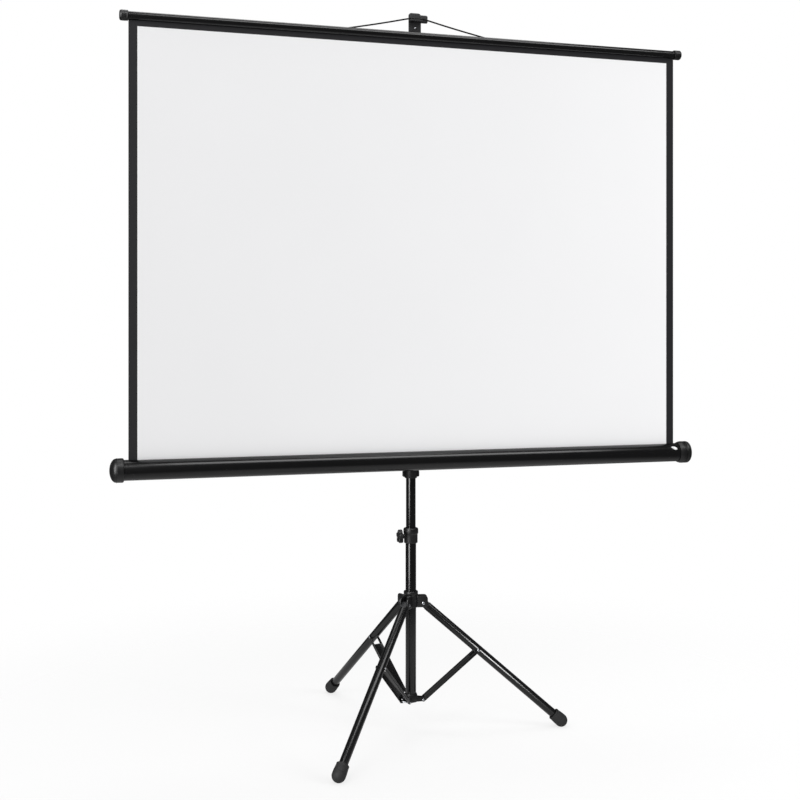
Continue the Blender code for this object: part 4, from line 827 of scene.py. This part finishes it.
# Top bar
# A steel tube slotted underneath that grips the cloth's upper hem, with moulded caps whose
# mouths have a rolled rim; nylon ears on its upper back hold the ends of the wire bail.
bar_radius, bar_wall = 0.0125, 0.0011
hem_slot_width, hem_slot_spare = 0.0030, 0.0022
bar_low, bar_high, bar_mid = span("bar_tube")
bar_z = bar_high.z - bar_radius
bar = drawn_tube(
    "steel_top_bar", bar_radius, bar_wall,
    (bar_low.x, bar_mid.y, bar_z), (bar_high.x, bar_mid.y, bar_z), 96,
)
slotted(
    bar, "hem slot", (0, bar_mid.y, bar_z - bar_radius),
    (cloth_width + hem_slot_spare, hem_slot_width, bar_radius),
)
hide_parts("bar_tube")
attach(bar, "top_bar")

bar_half = span("bar_cap_right")[1].x
bar_mouth, bar_plug_radius = bar_half - 0.0245, 0.0128
bar_cap_steps = raised(bar_half, [(0.0, -0.0037), (bar_plug_radius, -0.0037)])
bar_cap_steps += raised(bar_mouth, [
    (bar_plug_radius, 0.0005), (0.0132, 0.0), (0.0143, 0.0), (0.0151, 0.0005), (0.0155, 0.0014),
    (0.0155, 0.0034), (0.0150, 0.0042), (0.0150, 0.0050), (0.0154, 0.0058), (0.0155, 0.0070),
])
bar_cap_steps += dome_steps(bar_half, 0.0095, 0.0060, 0.0060, range(0, 91, 10))
bar_cap_steps += [(0.0040, bar_half), (0.0, bar_half)]
for side, word in ((-1, "left"), (1, "right")):
    cap = turned(f"moulded_bar_cap_{word}", bar_cap_steps, nylon, 80)
    cap.data.transform(Matrix.Translation((0, bar_mid.y, bar_z)) @ turn(90 * side, "Y"))
    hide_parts(f"bar_cap_{word}")
    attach(cap, "top_bar")
    edges_broken(f"bail_ear_{word}", "top_bar", "black_plastic", 0.0005)


# Upper hem of the cloth
# The strip of black cloth above the white view, clamped in the bar's slot; it travels with the
# bar, while the cloth below it rolls up.
seam = 0.00002
hem_foot = cloth_top + seam
hem_top = span("border_top")[1].z
only()
hem = hung_cloth("cloth_upper_hem", hem_foot, hem_top, 24, 2)
thickened(hem, black_print, black_back)
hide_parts("border_top")
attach(hem, "top_bar")


# Bail
# One length of enamelled spring wire from ear to ear, its ends turned outwards into the ears
# and its flat middle on the hanger's tray.
wire_radius, sag = 0.0024, 0.0012
ear_x, ear_out, ear_angle = 0.2280, 0.0173, math.radians(65)
bar_y = mast.y - 0.0880
foot = Vector((ear_x, bar_y + ear_out * math.sin(ear_angle), bar_z + ear_out * math.cos(ear_angle)))
rest = Vector((0.0258, mast.y - 0.0660, 2.2335))
foot_turns = ((0.0132, 0.0), (0.0006, 0.0), (-0.0012, 0.0008), (-0.0026, 0.0036), (-0.0042, 0.0062),
              (-0.0075, 0.0078))
rest_turns = ((0.0024, -0.0010), (0.0004, -0.0002), (-0.0024, 0.0))
right_run = [foot + Vector((x, 0, z)) for x, z in foot_turns]
bend = right_run[-1]
rise = 12
for step in range(1, rise):
    share = step / rise
    right_run.append(bend.lerp(rest, share) + Vector((0, 0, -sag * math.sin(math.pi * share))))
right_run += [rest + Vector((x, 0, z)) for x, z in rest_turns]
whole_run = right_run + [Vector((-p.x, p.y, p.z)) for p in reversed(right_run)]
line = bpy.data.curves.new("sprung_wire", "CURVE")
line.dimensions = "3D"
line.bevel_depth = wire_radius
line.bevel_resolution = 6
line.use_fill_caps = True
run = line.splines.new("POLY")
run.points.add(len(whole_run) - 1)
for point, at in zip(run.points, whole_run):
    point.co = (*at, 1.0)
wire = bpy.data.objects.new("sprung_wire_bail", line)
bpy.context.scene.collection.objects.link(wire)
only(wire)
bpy.ops.object.convert(target="MESH")
wire = bpy.context.active_object
bpy.ops.object.shade_smooth_by_angle(angle=math.radians(50))
wire.data.materials.clear()
# The drawn wire is duller than the tubes, so that it reads as a plain black line
spring_steel = hard_finish("blackened spring wire", "060606", "0A0A0A", 0.70, 0.05, 0.05, 900.0)
spring_steel.node_tree.nodes["Principled BSDF"].inputs["Specular IOR Level"].default_value = 0.15
wire.data.materials.append(spring_steel)
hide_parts("bail_wire")
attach(wire, "bail")


# Hanger
# A nylon moulding on the rod's end: a sleeve with a cap, an arm forward to an upright plate,
# a tray across its front for the wire, and a nose that stands out to the right.
rod_end = 2.2000
cap_top = rod_end + 0.0043
plate_front, upright_thick = mast.y - 0.0530, 0.0040
arm_x = -0.0030
# Greyer than the other nylon, partly so that the plates read apart from the black wire they carry, and
# partly as painted light: the lighter grey makes up for the shade the tray casts on the lower plate
charcoal_with_painted_light = hard_finish("charcoal nylon with painted light", "222224", "2A2A2C", 0.44, 0.05, 0.10, 1400.0)
sleeve = turned("hanger_sleeve", [
    (0.0108, rod_end - 0.0346), (0.0112, rod_end - 0.0350), (0.0132, rod_end - 0.0350),
    (0.0138, rod_end - 0.0347), (0.0140, rod_end - 0.0340), (0.0140, cap_top - 0.0022),
    (0.0136, cap_top - 0.0010), (0.0128, cap_top - 0.0003), (0.0118, cap_top), (0.0, cap_top),
    (0.0, rod_end + 0.0003), (0.0108, rod_end + 0.0003),
], charcoal_with_painted_light)
sleeve.data.transform(on_mast())
upright = stamped(
    "hanger_upright", -0.0230, 0.0170, rod_end - 0.0320, rod_end + 0.0550, upright_thick,
    (0.0090, 0.0090, 0.0090, 0.0090), charcoal_with_painted_light, 0.0007,
)
nose = stamped(
    "hanger_nose", -0.0010, 0.0390, rod_end + 0.0255, rod_end + 0.0500, 0.0034,
    (0.0, 0.0050, 0.0050, 0.0), charcoal_with_painted_light, 0.0006,
)
for plate in (upright, nose):
    plate.data.transform(Matrix.Translation((0, plate_front + upright_thick / 2, 0)))
arm = stamped(
    "hanger_arm", 0.0010, 0.0405, rod_end - 0.0320, cap_top, 0.0180, (0, 0, 0, 0), charcoal_with_painted_light, 0.0008
)
tray_top = rod_end + 0.0335 - wire_radius - 0.0003
tray = stamped(
    "hanger_tray", -0.0194, 0.0010, tray_top - 0.0045, tray_top, 0.0400, (0.0006, 0, 0, 0.0006),
    charcoal_with_painted_light, 0.0005,
)
for shelf in (arm, tray):
    shelf.data.transform(Matrix.Translation((arm_x, plate_front, 0)) @ turn(90, "Z"))
hanger = joined("moulded_hanger", [sleeve, upright, nose, arm, tray])
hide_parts("rod_hanger")
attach(hanger, "rod")
edges_broken("hanger_rivet", "rod", "zinc_steel", 0.0002)
